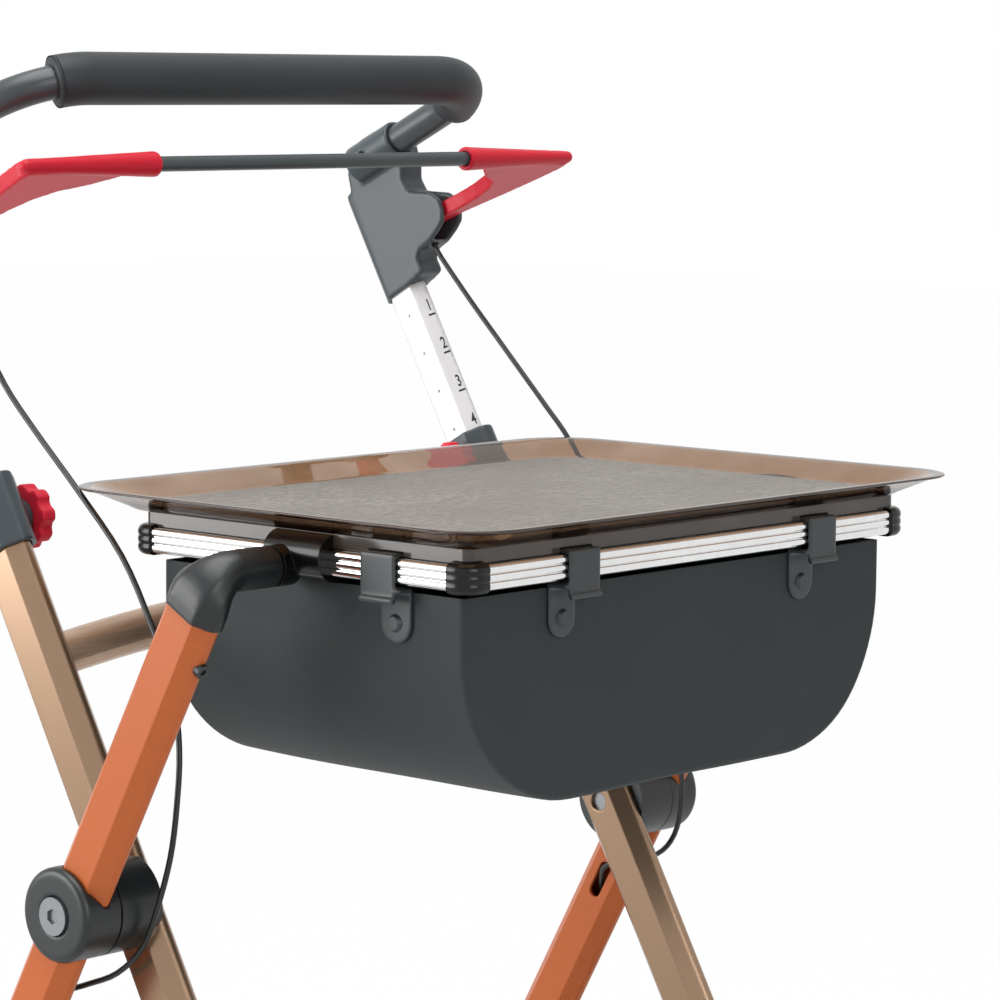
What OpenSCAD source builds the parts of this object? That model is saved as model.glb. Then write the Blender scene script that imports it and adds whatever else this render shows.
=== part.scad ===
// Indoor walker with tray: crossed folding legs, height columns, one-hand brake, tray and hung basket.
// Millimetres. X to the user's left, Y to the user (rear), Z up. Origin on the floor, under the middle of the box.

/* [Legs] */
// How far the front legs lie inside the rear ones
leg_offset = 43; // [42:0.5:50]
// Height of the fold axis above the floor
pivot_height = 450; // [430:5:480]
// Lean of the rear legs from upright, in degrees
rear_lean = 28.6; // [27:0.1:30]
// Lean of the front legs from upright, in degrees
front_lean = 29.4; // [28:0.1:31]
// Thickness of the leg section across its flats
leg_thick = 21; // [20:0.5:22]
// Length of the flat on each broad side
leg_flat = 21; // [20:0.5:23]
// Rounding of the narrow edges
leg_nose = 5; // [4.9:0.1:5.5]
// Wall of the leg tubes
leg_wall = 2.5; // [2.2:0.1:2.8]
// Distance from fold axis to the top end of a front leg
front_leg_up = 254; // [250:1:258]
// Diameter of the arched cross tube
arch_d = 25; // [22:0.5:26]
// Distance of the arched tube's ends above the fold axis, along the leg
arch_up = 150; // [140:1:160]
// Slope of the arched tube at its ends, in degrees
arch_slope = 8.5; // [4:0.5:10]

/* [Fold hubs] */
// Diameter of the hub drums
hub_d = 54; // [50:1:58]
// How far the hub face stands out from the rear leg's middle plane
hub_out = 16; // [15:0.5:18]
// Rounding of the hub's outer edge
hub_round = 4; // [2:0.5:5]
// Diameter of the fold bolt
bolt_d = 12; // [10:0.5:14]
// Diameter of the bolt's cap
bolt_cap_d = 21.6; // [20:0.2:24]
// Hexagon socket of the bolt, across its corners
bolt_hex_d = 9; // [8:0.5:10]

/* [Tray frame] */
// Half the width over the side rails
rail_half_x = 192; // [188:0.5:195]
// Distance from the fold axis forward to the front rail's face
rail_front = 242.5; // [238:0.5:247]
// Distance from the fold axis back to the rear rail's face
rail_back = 16; // [13:0.5:20]
// Distance from a side rail's face out to the rear leg's middle plane
arm_reach = 58; // [55:0.5:62]
// Height of the rails' underside above the fold axis
rail_up = 196; // [194:1:200]
// Radius of one bead of the rail
bead_r = 2.9; // [2.7:0.1:3.1]
// Distance between the rail's beads
bead_step = 4.3; // [4.1:0.1:4.5]
// Half the flat core of the rail
bead_core = 3.4; // [3:0.1:3.8]
// Wall of the corner caps over the rails
cap_wall = 1.4; // [1.2:0.1:1.8]
// Height of the elbow axis above the fold axis
elbow_up = 200; // [198:0.5:203]
// Diameter of the elbow's arm
elbow_d = 23; // [21:0.5:24]
// Diameter of the tray frame's pin
tilt_pin_d = 10; // [8:0.5:12]
// Radius of the sleeve round the side rail
sleeve_r = 13.2; // [12.9:0.1:13.6]
// Length of the sleeve along the rail
sleeve_len = 43; // [38:1:48]

/* [Tray] */
// How far the rim stands out beside the side rails
tray_lip_side = 26; // [20:1:32]
// How far the rim stands out in front of the front rail
tray_lip_front = 27.5; // [20:0.5:34]
// How far the rim stands out behind the rear rail
tray_lip_back = 40; // [34:1:44]
// Height of the tray from its underside to the rim's top
tray_high = 13.3; // [12:0.1:16]
// How far the rim flares out
tray_flare = 26; // [22:1:30]
// Corner radius of the rim
tray_round = 38; // [30:1:44]
// Thickness of the tray's sheet
tray_wall = 3; // [2.5:0.1:3.5]
// Thickness of the textured mat
mat_thick = 1.2; // [0.8:0.1:2]
// Thickness of the black seat under the tray
seat_thick = 8; // [7:0.1:9]
// Width of the seat's strips
seat_wide = 15; // [12:0.5:18]

/* [Basket] */
// Distance of the basket's sides inside the side rails' faces
basket_side_gap = 9.5; // [8:0.5:12]
// Distance of the front panel behind the front rail's face
basket_front_gap = 12; // [10:0.5:15]
// Distance of the back panel before the rear rail's face
basket_back_gap = 15.5; // [14:0.1:18]
// Depth of the basket from hem to floor
basket_deep = 120.5; // [110:0.5:124]
// Radius of the lower corners
basket_round = 88; // [70:1:92]
// Thickness of the fabric shell
basket_wall = 2.4; // [2:0.1:3]
// Width of a strap hook
hook_wide = 25; // [22:0.5:27]
// Thickness of a strap hook
hook_thick = 2.2; // [1.8:0.1:2.4]
// Distance of the front and rear hooks from the middle
hook_x = 105; // [95:1:115]
// Shift of the front hooks to the left side
hook_off = 3.5; // [0:0.5:5]
// Reach of a hook below the rail
hook_reach = 6.5; // [4:0.5:8]
// Distance of the side hooks forward of the fold axis
hook_y = 178; // [174:1:182]
// Sideways step from hook to lug
lug_step = 5; // [3:0.5:8]
// Length of the lug below the rail
lug_drop = 32.5; // [28:0.5:34]

/* [Handle] */
// Length of column between clamp and bracket
column_show = 95; // [84:1:105]
// Pitch of the height marks
column_pitch = 28; // [25:0.5:30]
// Wall of the columns
column_wall = 1.8; // [1.5:0.1:2]
// Length of a column inside its leg
column_in = 160; // [150:1:162]
// Distance of the bar's legs inside the front legs' middle planes
bar_in = 9; // [8:0.5:11]
// Height of the grip above the bracket's foot
bar_rise = 152.6; // [148:0.1:158]
// Distance of the grip ahead of the bracket's foot
bar_ahead = 73.3; // [70:0.1:77]
// Diameter of the bar
bar_d = 20; // [19:0.5:21]
// Wall of the bar
bar_wall = 2; // [1.5:0.1:2.5]
// Bend radius of the bar
bar_bend = 50; // [44:1:54]
// Droop of the bar's legs from level, in degrees
bar_droop = 26; // [24:0.5:28]
// Diameter of the foam
foam_d = 31; // [29:0.5:32]
// Bend angle that the foam covers at its left end, in degrees
foam_left = 71; // [60:1:80]
// Bend angle that the foam covers at its right end, in degrees
foam_right = 27; // [20:1:40]
// Wall of the bracket's bar socket
socket_wall = 3.2; // [2.8:0.1:3.6]
// Width of the bracket
bracket_wide = 21; // [20.8:0.1:22]

/* [Brake] */
// Diameter of the rod
rod_d = 9; // [8:0.2:10]
// Half the rod's bare length
rod_half = 132; // [126:1:136]
// How far the lever stands out beside the front leg's middle plane
lever_out = 27; // [22:1:30]
// Thickness of the lever's web
lever_thick = 10; // [9:0.5:12]
// Width of the lever's arm
arm_wide = 12.6; // [11:0.1:12.8]
// Diameter of the lever's pin
lever_pin_d = 6; // [5:0.1:7]
// Diameter of the brake cables
cable_d = 3.4; // [3:0.1:4]

/* [Clamps] */
// Length of the clamp on the leg
clamp_len = 44; // [40:1:48]
// Wall of the clamp
clamp_wall = 3.4; // [3:0.1:4]
// Diameter of the star knob
knob_d = 38; // [34:0.5:39]
// Thickness of the star knob
knob_thick = 10; // [8:0.5:12]
// Lobes of the star knob
knob_lobes = 8; // [6:1:10]
// Diameter of the knob's stud
stud_d = 8; // [6:0.5:10]

/* [Wheels] */
// Diameter of all wheels
wheel_d = 170; // [160:1:176]
// Width of the tyres
tyre_wide = 28; // [26:0.5:29]
// Height of the tyre's section
tyre_deep = 16; // [14:0.5:18]
// Diameter of the axles
axle_d = 8; // [7:0.5:10]
// Trail of the casters
caster_trail = 34; // [30:0.5:38]
// Thickness of the fork's cheeks
cheek_thick = 4.4; // [4:0.1:4.6]
// Free play beside each tyre
cheek_gap = 2.6; // [2.4:0.1:2.8]
// Diameter of the caster's stem
stem_d = 12; // [10:0.5:14]
// Free play between brake shoe and tyre
shoe_gap = 2.2; // [2:0.1:2.6]

/* [Hidden] */
fit = 0.05;
joint_gap = 0.4;
slide_gap = 0.3;
over = 2;
half = 0.5;
round_fn = 64;
soft_fn = 32;
bevel = sqrt(2) - 1;
slant = sqrt(half);

rear_leg_x = rail_half_x + arm_reach;
front_leg_x = rear_leg_x - leg_offset;
wheel_r = wheel_d * half;
// Rear wheel, along the rear leg's line
axle_s = (pivot_height - wheel_r) / cos(rear_lean);
rear_axle_y = (pivot_height - wheel_r) * tan(rear_lean);
// Whole part moved so that the origin lies under the middle of its box
tray_front = rail_front + tray_lip_front;
row_y = (tray_front - rear_axle_y - wheel_r) * half;

leg_w = section_w(0);
arch_spare = 0.5;
crown_gap = 8;
crown_s = wheel_r + crown_gap;
crown_thick = 13;
fork_sleeve = 44;
fork_wall = 3;
rear_leg_low = axle_s - crown_s - crown_thick;
elbow_s = elbow_up / cos(rear_lean);
elbow_y = elbow_up * tan(rear_lean);
elbow_z = pivot_height + elbow_up;
elbow_skirt = 25;
elbow_lap = 17.5;
elbow_wall = 1.6;
elbow_bend = 17;
elbow_rings = 12;
elbow_sides = 32;
elbow_r = elbow_d * half;
arm_out = 13;
arm_end_x = rail_half_x + arm_out;
hub_in = leg_thick * half + joint_gap;
hub_r = hub_d * half;
saddle_share = 0.4;
bolt_r = bolt_d * half;
cap_high = 3.6;
cap_sink = 2.4;

tray_half_x = rail_half_x + tray_lip_side;
tray_back = rail_back + tray_lip_back;
basket_half_x = rail_half_x - basket_side_gap;
basket_front = rail_front - basket_front_gap;
basket_back = rail_back - basket_back_gap;

rail_w = 2 * (bead_core + bead_r);
rail_h = 2 * (bead_step + bead_r);
rail_z = pivot_height + rail_up;
rail_mid_z = rail_z + rail_h * half;
rail_top = rail_z + rail_h;
rail_x = rail_half_x - rail_w * half;
rail_fy = -(rail_front - rail_w * half);
rail_by = rail_back - rail_w * half;
corner_r = 5;
cap_lap = 4;
rail_end = rail_w * half + slide_gap;
cap_reach = corner_r + cap_lap + rail_w * half + half;
seat_in = 5;
seat_z = rail_top + slide_gap;
tray_z = seat_z + seat_thick + fit;
sleeve_back = 13;

sleeve_lift = 2;
hook_play = 0.5;
basket_top = rail_mid_z + sleeve_lift - sleeve_r - hook_play;
basket_low = basket_top - basket_deep;
lug_r = 11;
hook_places = [hook_off - hook_x, hook_off + hook_x];
lip_r = 1.8;
rivet_d = 10;
rivet_high = 2;

clamp_mid = 237;
clamp_s = clamp_mid - clamp_len * half;
boss_r = 11;
boss_len = 6;
knob_x = front_leg_x - leg_thick * half - clamp_wall - boss_len - joint_gap;
knob_groove_share = 0.13;
bracket_s = clamp_s + clamp_len + column_show;
column_rise = 82;
column_top_s = bracket_s + column_rise;
column_low_s = front_leg_up - column_in;
column_grow = -leg_wall - slide_gap;

// Handle points, measured back from the fold axis and up from it
bar_half_x = front_leg_x - bar_in;
foot = [bracket_s * sin(front_lean), bracket_s * cos(front_lean)];
bar_leg = 128;
bar_y = foot[0] - bar_ahead;
bar_up = foot[1] + bar_rise;
bar_end = [bar_y + bar_leg * cos(bar_droop), bar_up - bar_leg * sin(bar_droop)];
socket_from = 89;
screw_d = 6;
screw_share = 0.9;
// Side outline of the bracket, from its foot (0, 0) to the bar's end (1, 1)
bracket_size = bar_end - foot;
bracket_shares = [
  [0.35, 0.079], [1.23, 0.808], [1.3, 0.929], [1.19, 1.09], [0.985, 1.17], [0.695, 1.23], [0.252, 1.2],
  [0.089, 0.993], [0.089, 0.904], [-0.043, 0.823], [-0.538, 0.815], [-0.713, 0.775], [-0.8, 0.702], [-0.802, 0.627],
  [-0.694, 0.561], [-0.522, 0.48], [-0.306, 0.421], [-0.258, 0.358], [-0.378, 0.276], [-0.198, 0.213]];
bracket_round = 3;
pin_shares = [-0.138, 0.597];
pin_cover = 1.6;
collar_up = 13;
collar_len = 79;
collar_wall = 2.6;
pivot_y = foot[0] + pin_shares[0] * bracket_size[0];
pivot_up = foot[1] + pin_shares[1] * bracket_size[1];
slot_wide = arm_wide + over * slide_gap;
// Rod of the brake, ahead of the levers' pin and above it
rod_ahead = 107;
rod_rise = 46;
rod_y = pivot_y - rod_ahead;
rod_up = pivot_up + rod_rise;
lever_arm = norm([rod_ahead, rod_rise]);
lever_tilt = atan2(rod_rise, rod_ahead);
lever_in = front_leg_x - rod_half;
lever_neck = 31;
lever_round = 3;
tip_r = 4;
eye_r = 9;
tube_r = 7.6;
// Outline of the lever, across from its middle and along from pin to rod
lever_outer_shares = [[0.3, 0.343], [0.52, 0.532], [0.76, 0.78], [0.86, 0.94], [0.8, 1]];
lever_inner_shares = [[-0.7, 1], [-0.7, 0.94], [-0.5, 0.83], [-0.29, 0.755], [-0.17, 0.65], [-0.107, 0.515], [-0.084, 0.4]];

// Cable routes: x inward from the rear leg's plane, y back and z up from the fold axis
left_route = [
  [44, 157, 355], [44, 150, 345], [42, 125, 317], [40.5, 104, 295], [39, 83, 273], [36.5, 63, 251], [34, 44, 229],
  [32, 29, 200], [31, 13, 162], [32, -7, 125], [32, -24, 94], [32, -42, 58], [30, -50, 20],
  [27, -46, -9], [23, -33, -29], [19, -12, -41], [16.5, 12, -47], [14.6, 27, -53], [9.4, 34, -63], [3.6, 38.6, -71.5]];
right_route = [
  [44, 157, 355], [44, 150, 345], [48, 136, 316], [50, 116, 285], [51, 91, 260], [51, 55, 229],
  [50, 16, 194], [47, -11, 159], [43, -33, 124], [39, -43, 92], [35, -45, 60], [32, -43, 32], [29, -36, 4],
  [26, -27, -20], [22, -10, -37], [17.5, 10, -46], [14.6, 27, -53], [9.4, 34, -63], [3.6, 38.6, -71.5]];
cable_sides = 8;
port_y = 34.5;
port_up = -63;
port_d = 9;
port_len = 27;

tyre_room = 4;
crown_high = 8;
crown_low = wheel_d + tyre_room;
socket_low = crown_low + crown_high;
socket_high = 54;
socket_r = 17;
stem_in = 38;
leg_end_up = 36;
leg_low_s = (pivot_height - socket_low - leg_end_up) / cos(front_lean);
socket_lap = 38;
caster_ahead = 21.3;
caster_y = leg_low_s * sin(front_lean) + caster_ahead;
mark_r = 1.1;
mark_deep = 0.7;
button_s = 178;
button_r = 4.2;
button_hole_r = 1.8;

function section_w(grow) = leg_flat + 2 * grow * bevel + leg_thick + 2 * grow - 2 * max(leg_nose + grow, half) * bevel;

bronze = [0.66, 0.52, 0.4];
orange = [0.85, 0.45, 0.25];
grey = [0.35, 0.37, 0.4];
black = [0.12, 0.12, 0.13];
silver = [0.8, 0.8, 0.82];
red = [0.8, 0.15, 0.2];

// One side of the frame, with the row's origin
module side(s) {
  translate([0, row_y, 0])
    mirror([s < 0 ? 1 : 0, 0, 0])
      children();
}

module pair() {
  for (s = [-1, 1])
    side(s) children();
}

// Frames along the legs, with z up the leg from the fold axis
module on_rear() {
  translate([rear_leg_x, 0, pivot_height])
    rotate([rear_lean, 0, 0])
      children();
}

module on_front() {
  translate([front_leg_x, 0, pivot_height])
    rotate([-front_lean, 0, 0])
      children();
}

// Leg section: two flats, four slanted faces and two rounded edges
module section(grow) {
  t = leg_thick * half + grow;
  f = leg_flat * half + grow * bevel;
  n = max(leg_nose + grow, half);
  w = t + f - n * bevel;
  k = n * slant;
  polygon([[t, -f], [t, f], [k, w - n + k], [-k, w - n + k], [-t, f], [-t, -f], [-k, n - w - k], [k, n - w - k]]);
  for (s = [-1, 1])
    translate([0, s * (w - n)])
      circle(n, $fn = round_fn);
}

module prism(grow, low, high) {
  translate([0, 0, low])
    linear_extrude(high - low)
      section(grow);
}

// Room for a leg in a moulding: the same flats and slants, with the rounded edges cut square
module room(grow, low, high) {
  t = leg_thick * half + grow;
  f = leg_flat * half + grow * bevel;
  k = (leg_nose + grow) * bevel;
  w = t + f - k;
  translate([0, 0, low])
    linear_extrude(high - low)
      polygon([[t, -f], [t, f], [k, w], [-k, w], [-t, f], [-t, -f], [-k, -w], [k, -w]]);
}

module x_rod(r, from, to) {
  translate([from, 0, 0])
    rotate([0, 90, 0])
      cylinder(to - from, r, r, $fn = round_fn);
}

module front_leg(s) {
  color(bronze) side(s) difference() {
    on_front() difference() {
      prism(0, -leg_low_s, front_leg_up);
      prism(-leg_wall, -leg_low_s - over, front_leg_up + over);
      translate([0, 0, clamp_mid]) x_rod(stud_d * half + joint_gap, -leg_thick, 0);
    }
    translate([0, 0, pivot_height]) x_rod(bolt_r + fit, front_leg_x - leg_thick, front_leg_x + leg_thick);
  }
}

module arch_bar() {
  bow = (front_leg_x - leg_thick * half) / sin(arch_slope);
  color(bronze) translate([0, row_y, 0]) difference() {
    translate([0, 0, pivot_height]) rotate([-front_lean, 0, 0])
      translate([0, 0, arch_up - bow * cos(arch_slope)]) rotate([90, 0, 0])
        rotate([0, 0, 90 - arch_slope - arch_spare]) rotate_extrude(angle = 2 * (arch_slope + arch_spare), $fn = round_fn)
          translate([bow, 0]) circle(arch_d * half, $fn = round_fn);
    for (s = [-1, 1])
      mirror([s < 0 ? 1 : 0, 0, 0])
        on_front() prism(0, 0, front_leg_up);
  }
}

module rear_leg(s) {
  color(orange) side(s) difference() {
    on_rear() difference() {
      prism(0, -rear_leg_low, elbow_s - elbow_lap);
      prism(-leg_wall, -rear_leg_low - over, elbow_s);
      translate([0, -leg_w * half, button_s]) rotate([-90, 0, 0])
        cylinder(leg_w * half, button_hole_r + fit, button_hole_r + fit, $fn = soft_fn);
    }
    translate([0, 0, pivot_height]) x_rod(bolt_r + fit, rear_leg_x - leg_thick, rear_leg_x + leg_thick);
    cable_port();
  }
}

// Long slot where the brake cable enters the leg's inner face
module cable_port() {
  translate([0, port_y, pivot_height + port_up]) rotate([rear_lean, 0, 0])
    for (d = [-1, 1])
      translate([0, 0, d * (port_len - port_d) * half]) x_rod(port_d * half, rear_leg_x - leg_thick, rear_leg_x);
  translate([rear_leg_x - leg_thick, port_y, pivot_height + port_up]) rotate([rear_lean, 0, 0])
    translate([0, -port_d * half, -(port_len - port_d) * half])
      cube([leg_thick, port_d, port_len - port_d]);
}

module outer_hubs() {
  face = rear_leg_x + hub_out;
  color(grey) pair() difference() {
    translate([0, 0, pivot_height]) {
      x_rod(hub_r, rear_leg_x - hub_in, face - hub_round);
      x_rod(hub_r - hub_round, face - hub_round, face);
      translate([face - hub_round, 0, 0]) rotate([0, 90, 0])
        rotate_extrude($fn = round_fn) translate([hub_r - hub_round, 0]) circle(hub_round, $fn = round_fn);
    }
    on_rear() room(fit, -hub_d, hub_d);
    translate([0, 0, pivot_height]) {
      x_rod(bolt_r + fit, front_leg_x, face + over);
      x_rod(bolt_cap_d * half + slide_gap, face - cap_sink, face + over);
    }
  }
}

module inner_hubs() {
  color(grey) pair() difference() {
    translate([0, 0, pivot_height])
      x_rod(hub_r, front_leg_x + leg_thick * half * saddle_share * half, rear_leg_x - hub_in - joint_gap);
    on_front() room(fit, -hub_d, hub_d);
    translate([0, 0, pivot_height]) x_rod(bolt_r + fit, front_leg_x - leg_thick, rear_leg_x);
  }
}

module pivot_bolts() {
  face = rear_leg_x + hub_out - cap_sink + fit;
  color(silver) pair() translate([0, 0, pivot_height]) difference() {
    union() {
      x_rod(bolt_r, front_leg_x - leg_thick * half + leg_wall, face);
      x_rod(bolt_cap_d * half, face, face + cap_high);
    }
    translate([face + cap_high * half, 0, 0]) rotate([0, 90, 0])
      cylinder(cap_high, bolt_hex_d * half, bolt_hex_d * half, $fn = 6);
  }
}

// Reach of the leg's section in a direction, from its middle
function leg_reach(q, grow) = min(
  (leg_thick * half + grow) / max(abs(cos(q)), fit),
  (leg_thick * half + leg_flat * half + grow * 2 * slant) / (abs(cos(q)) + abs(sin(q))),
  (leg_w * half + grow) / max(abs(sin(q)), fit));

function ease(t) = t * t * (3 - 2 * t);

// Bend that turns the leg's section inward and makes it round
module elbow_turn() {
  rings = [for (i = [0:elbow_rings], k = [0:elbow_sides - 1])
    let (
      turn = 90 * i / elbow_rings,
      q = 360 * k / elbow_sides,
      m = ease(i / elbow_rings),
      r = (1 - m) * leg_reach(q, elbow_wall - fit) + m * elbow_r,
      far = elbow_bend + r * cos(q))
        [far * cos(turn) - elbow_bend, r * sin(q), elbow_s - elbow_bend + far * sin(turn)]];
  n = elbow_sides;
  polyhedron(rings, concat(
    [[for (k = [0:n - 1]) k]],
    [for (i = [0:elbow_rings - 1], k = [0:n - 1])
      [i * n + k, (i + 1) * n + k, (i + 1) * n + (k + 1) % n, i * n + (k + 1) % n]],
    [[for (k = [0:n - 1]) (elbow_rings + 1) * n - 1 - k]]));
}

// Moulded elbow that caps a rear leg and turns inward to the tray frame
module leg_elbow(s) {
  color(grey) side(s) difference() {
    union() {
      on_rear() {
        prism(elbow_wall, elbow_s - elbow_skirt, elbow_s - elbow_bend + fit);
        elbow_turn();
      }
      translate([0, -elbow_y, elbow_z]) x_rod(elbow_r, arm_end_x + joint_gap, rear_leg_x - elbow_bend + over);
    }
    on_rear() room(fit, elbow_s - elbow_skirt - over, elbow_s - elbow_lap + fit);
    translate([0, -elbow_y, elbow_z]) x_rod(tilt_pin_d * half + fit, arm_end_x - over, rear_leg_x - leg_thick);
  }
}

module leg_buttons() {
  color(grey) pair() on_rear() translate([0, -leg_w * half, button_s]) rotate([90, 0, 0]) difference() {
    union() {
      translate([0, 0, -over]) cylinder(over + hook_thick, button_r, button_r, $fn = soft_fn);
      translate([0, 0, -leg_nose * over]) cylinder(leg_nose * over, button_hole_r, button_hole_r, $fn = soft_fn);
    }
    translate([0, 0, mark_deep]) cylinder(over * over, button_hole_r, button_hole_r, $fn = soft_fn);
    rotate([-90, 0, 0]) translate([0, leg_w * half, 0]) prism(fit, -button_d(), button_d());
  }
}

function button_d() = button_r * 4;

// Rail section: three beads one above the other
module rail_section(grow) {
  for (k = [-1, 0, 1])
    translate([0, k * bead_step]) {
      square([2 * bead_core, 2 * (bead_r + grow)], center = true);
      for (s = [-1, 1])
        translate([s * bead_core, 0]) circle(bead_r + grow, $fn = round_fn);
    }
}

module y_rail(grow, from, to) {
  translate([0, to, 0]) rotate([90, 0, 0])
    linear_extrude(to - from) rail_section(grow);
}

module x_rail(grow, from, to) {
  translate([from, 0, 0]) rotate([90, 0, 90])
    linear_extrude(to - from) rail_section(grow);
}

module side_rail(s) {
  color(silver) side(s) translate([rail_x, 0, rail_mid_z])
    y_rail(0, rail_fy + rail_end, rail_by - rail_end);
}

module cross_rail(y) {
  color(silver) translate([0, row_y + y, rail_mid_z])
    x_rail(0, rail_end - rail_x, rail_x - rail_end);
}

// Corner caps: a quarter bend with sockets over both rail ends
module rail_corners() {
  color(black) pair() for (e = [[rail_fy, 1], [rail_by, -1]])
    translate([rail_x - corner_r, e[0] + e[1] * corner_r, rail_mid_z]) mirror([0, e[1] < 0 ? 0 : 1, 0]) difference() {
      union() {
        rotate_extrude(angle = 90, $fn = round_fn)
          intersection() {
            translate([corner_r, 0]) rail_section(cap_wall);
            translate([0, -rail_h]) square([rail_h, 2 * rail_h]);
          }
        translate([corner_r, 0, 0]) y_rail(cap_wall, -cap_lap, 0);
        translate([0, corner_r, 0]) x_rail(cap_wall, -cap_lap, 0);
      }
      translate([corner_r, 0, 0]) y_rail(fit, -cap_lap - over, corner_r - rail_end + fit);
      translate([0, corner_r, 0]) x_rail(fit, -cap_lap - over, corner_r - rail_end + fit);
    }
}

// Sleeve that grips a side rail and turns on the elbow's pin
module rail_sleeve(s) {
  mid_y = sleeve_back - elbow_y;
  color(black) side(s) difference() {
    union() {
      translate([rail_x, mid_y, rail_mid_z + sleeve_lift]) rotate([90, 0, 0])
        cylinder(sleeve_len, sleeve_r, sleeve_r, $fn = round_fn);
      translate([0, -elbow_y, elbow_z]) {
        x_rod(elbow_r, rail_half_x, arm_end_x);
        x_rod(tilt_pin_d * half, rail_half_x, rear_leg_x - leg_thick - over);
      }
    }
    translate([rail_x, 0, rail_mid_z]) y_rail(fit, mid_y - sleeve_len - over, mid_y + over);
    translate([0, mid_y - sleeve_len - over, rail_top])
      cube([rail_half_x - seat_in + hook_play, sleeve_len + over * over, sleeve_r]);
  }
}

module slab(hx, front, back, r, z, h) {
  translate([0, 0, z]) linear_extrude(h) {
    translate([-hx, r - front]) square([2 * hx, front + back - 2 * r]);
    translate([r - hx, -front]) square([2 * (hx - r), front + back]);
    for (x = [r - hx, hx - r], y = [r - front, back - r])
      translate([x, y]) circle(r, $fn = round_fn);
  }
}

module tray_seat() {
  color(black) translate([0, row_y, 0]) difference() {
    slab(rail_half_x - seat_in, rail_front - seat_in, rail_back - seat_in, corner_r, seat_z, seat_thick);
    slab(rail_half_x - seat_wide, rail_front - seat_wide, rail_back - seat_wide, fit + half, seat_z - over, seat_thick + over * over);
    for (x = hook_places, y = [-rail_front, rail_back])
      translate([x - hook_wide * half - hook_play, y - seat_wide - over, seat_z - over])
        cube([hook_wide + 2 * hook_play, 2 * seat_wide + over * over, over + hook_thick + hook_play]);
    for (x = [-rail_half_x, rail_half_x])
      translate([x - seat_wide - over, -hook_y - hook_wide * half - hook_play, seat_z - over])
        cube([2 * seat_wide + over * over, hook_wide + 2 * hook_play, over + hook_thick + hook_play]);
    for (x = [-rail_half_x, rail_half_x], y = [-rail_front, rail_back])
      translate([x - cap_reach, y - cap_reach, seat_z - over]) cube([2 * cap_reach, 2 * cap_reach, over + cap_wall]);
  }
}

module dish(cut) {
  hull() {
    slab(tray_half_x - tray_flare - cut, tray_front - tray_flare - cut, tray_back - tray_flare - cut,
      tray_round - tray_flare * half, tray_z + cut, fit);
    slab(tray_half_x - cut, tray_front - cut, tray_back - cut, tray_round, tray_z + tray_high + cut * half - fit, fit);
  }
}

module tray() {
  color([0.45, 0.36, 0.28]) translate([0, row_y, 0]) difference() {
    dish(0);
    dish(tray_wall);
  }
}

module tray_mat() {
  inset = tray_flare + tray_wall + over * over;
  color(grey) translate([0, row_y, 0])
    slab(tray_half_x - inset, tray_front - inset, tray_back - inset, tray_round - tray_flare * half,
      tray_z + tray_wall + fit, mat_thick);
}

// Outline of the basket across its width
module trough(cut, lift) {
  hx = basket_half_x - cut;
  r = basket_round - cut;
  z = basket_low + cut;
  intersection() {
    translate([-hx, z]) square([2 * hx, basket_top + lift - z]);
    union() {
      translate([-hx, z + r]) square([2 * hx, basket_deep]);
      translate([r - hx, z]) square([2 * (hx - r), basket_deep]);
      for (s = [-1, 1])
        translate([s * (hx - r), z + r]) circle(r, $fn = round_fn);
    }
  }
}

module basket() {
  color(grey) translate([0, row_y, 0]) difference() {
    translate([0, basket_back, 0]) rotate([90, 0, 0])
      linear_extrude(basket_back + basket_front) trough(0, 0);
    translate([0, basket_back - basket_wall, 0]) rotate([90, 0, 0])
      linear_extrude(basket_back + basket_front - 2 * basket_wall) trough(basket_wall, over);
    hook_spots() rivet_pin(fit);
  }
}

// Hook places: u along the rail, v outward from the rail's outer face, w up from its top
module hook_spots() {
  for (x = hook_places) {
    translate([x, -rail_front, rail_top]) {
      $back = rail_front - basket_front;
      children();
    }
    translate([x, rail_back, rail_top]) mirror([0, 1, 0]) {
      $back = rail_back - basket_back;
      children();
    }
  }
  for (s = [-1, 1])
    translate([s * rail_half_x, -hook_y, rail_top]) rotate([0, 0, s * 90]) mirror([s < 0 ? 1 : 0, 0, 0]) {
      $back = rail_half_x - basket_half_x;
      children();
    }
}

module rivet_pin(extra) {
  translate([-lug_step, $back + basket_wall + over, -rail_h - lug_drop + lug_r]) rotate([90, 0, 0])
    cylinder(basket_wall + over + hook_thick + fit, rivet_d * half * half + extra, rivet_d * half * half + extra, $fn = soft_fn);
}

module strap_hook() {
  w = hook_wide * half;
  shelf = -rail_h - over;
  low = shelf - hook_reach;
  face = $back - fit;
  difference() {
    union() {
      translate([-w, -hook_thick - fit, fit]) cube([hook_wide, rail_w + 2 * hook_thick + 2 * fit, hook_thick]);
      translate([-w, -hook_thick - fit, low]) cube([hook_wide, hook_thick, fit - low + over * fit]);
      translate([0, -hook_thick - fit, low]) x_rod(lip_r, -w, w);
      translate([-w, rail_w + fit, -rail_h * half]) cube([hook_wide, hook_thick, rail_h * half + hook_thick]);
      translate([-lug_step - lug_r, -hook_thick - fit, shelf - hook_thick])
        cube([lug_step + lug_r + w, max(face, 0) + hook_thick + fit, hook_thick + fit]);
      translate([-lug_step - lug_r, face - hook_thick, -rail_h - lug_drop + lug_r])
        cube([2 * lug_r, hook_thick, lug_drop - lug_r - over]);
      translate([-lug_step, face, -rail_h - lug_drop + lug_r]) rotate([90, 0, 0])
        cylinder(hook_thick, lug_r, lug_r, $fn = soft_fn);
    }
    rivet_pin(fit);
  }
}

module basket_hooks() {
  color(black) translate([0, row_y, 0]) hook_spots() strap_hook();
}

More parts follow.
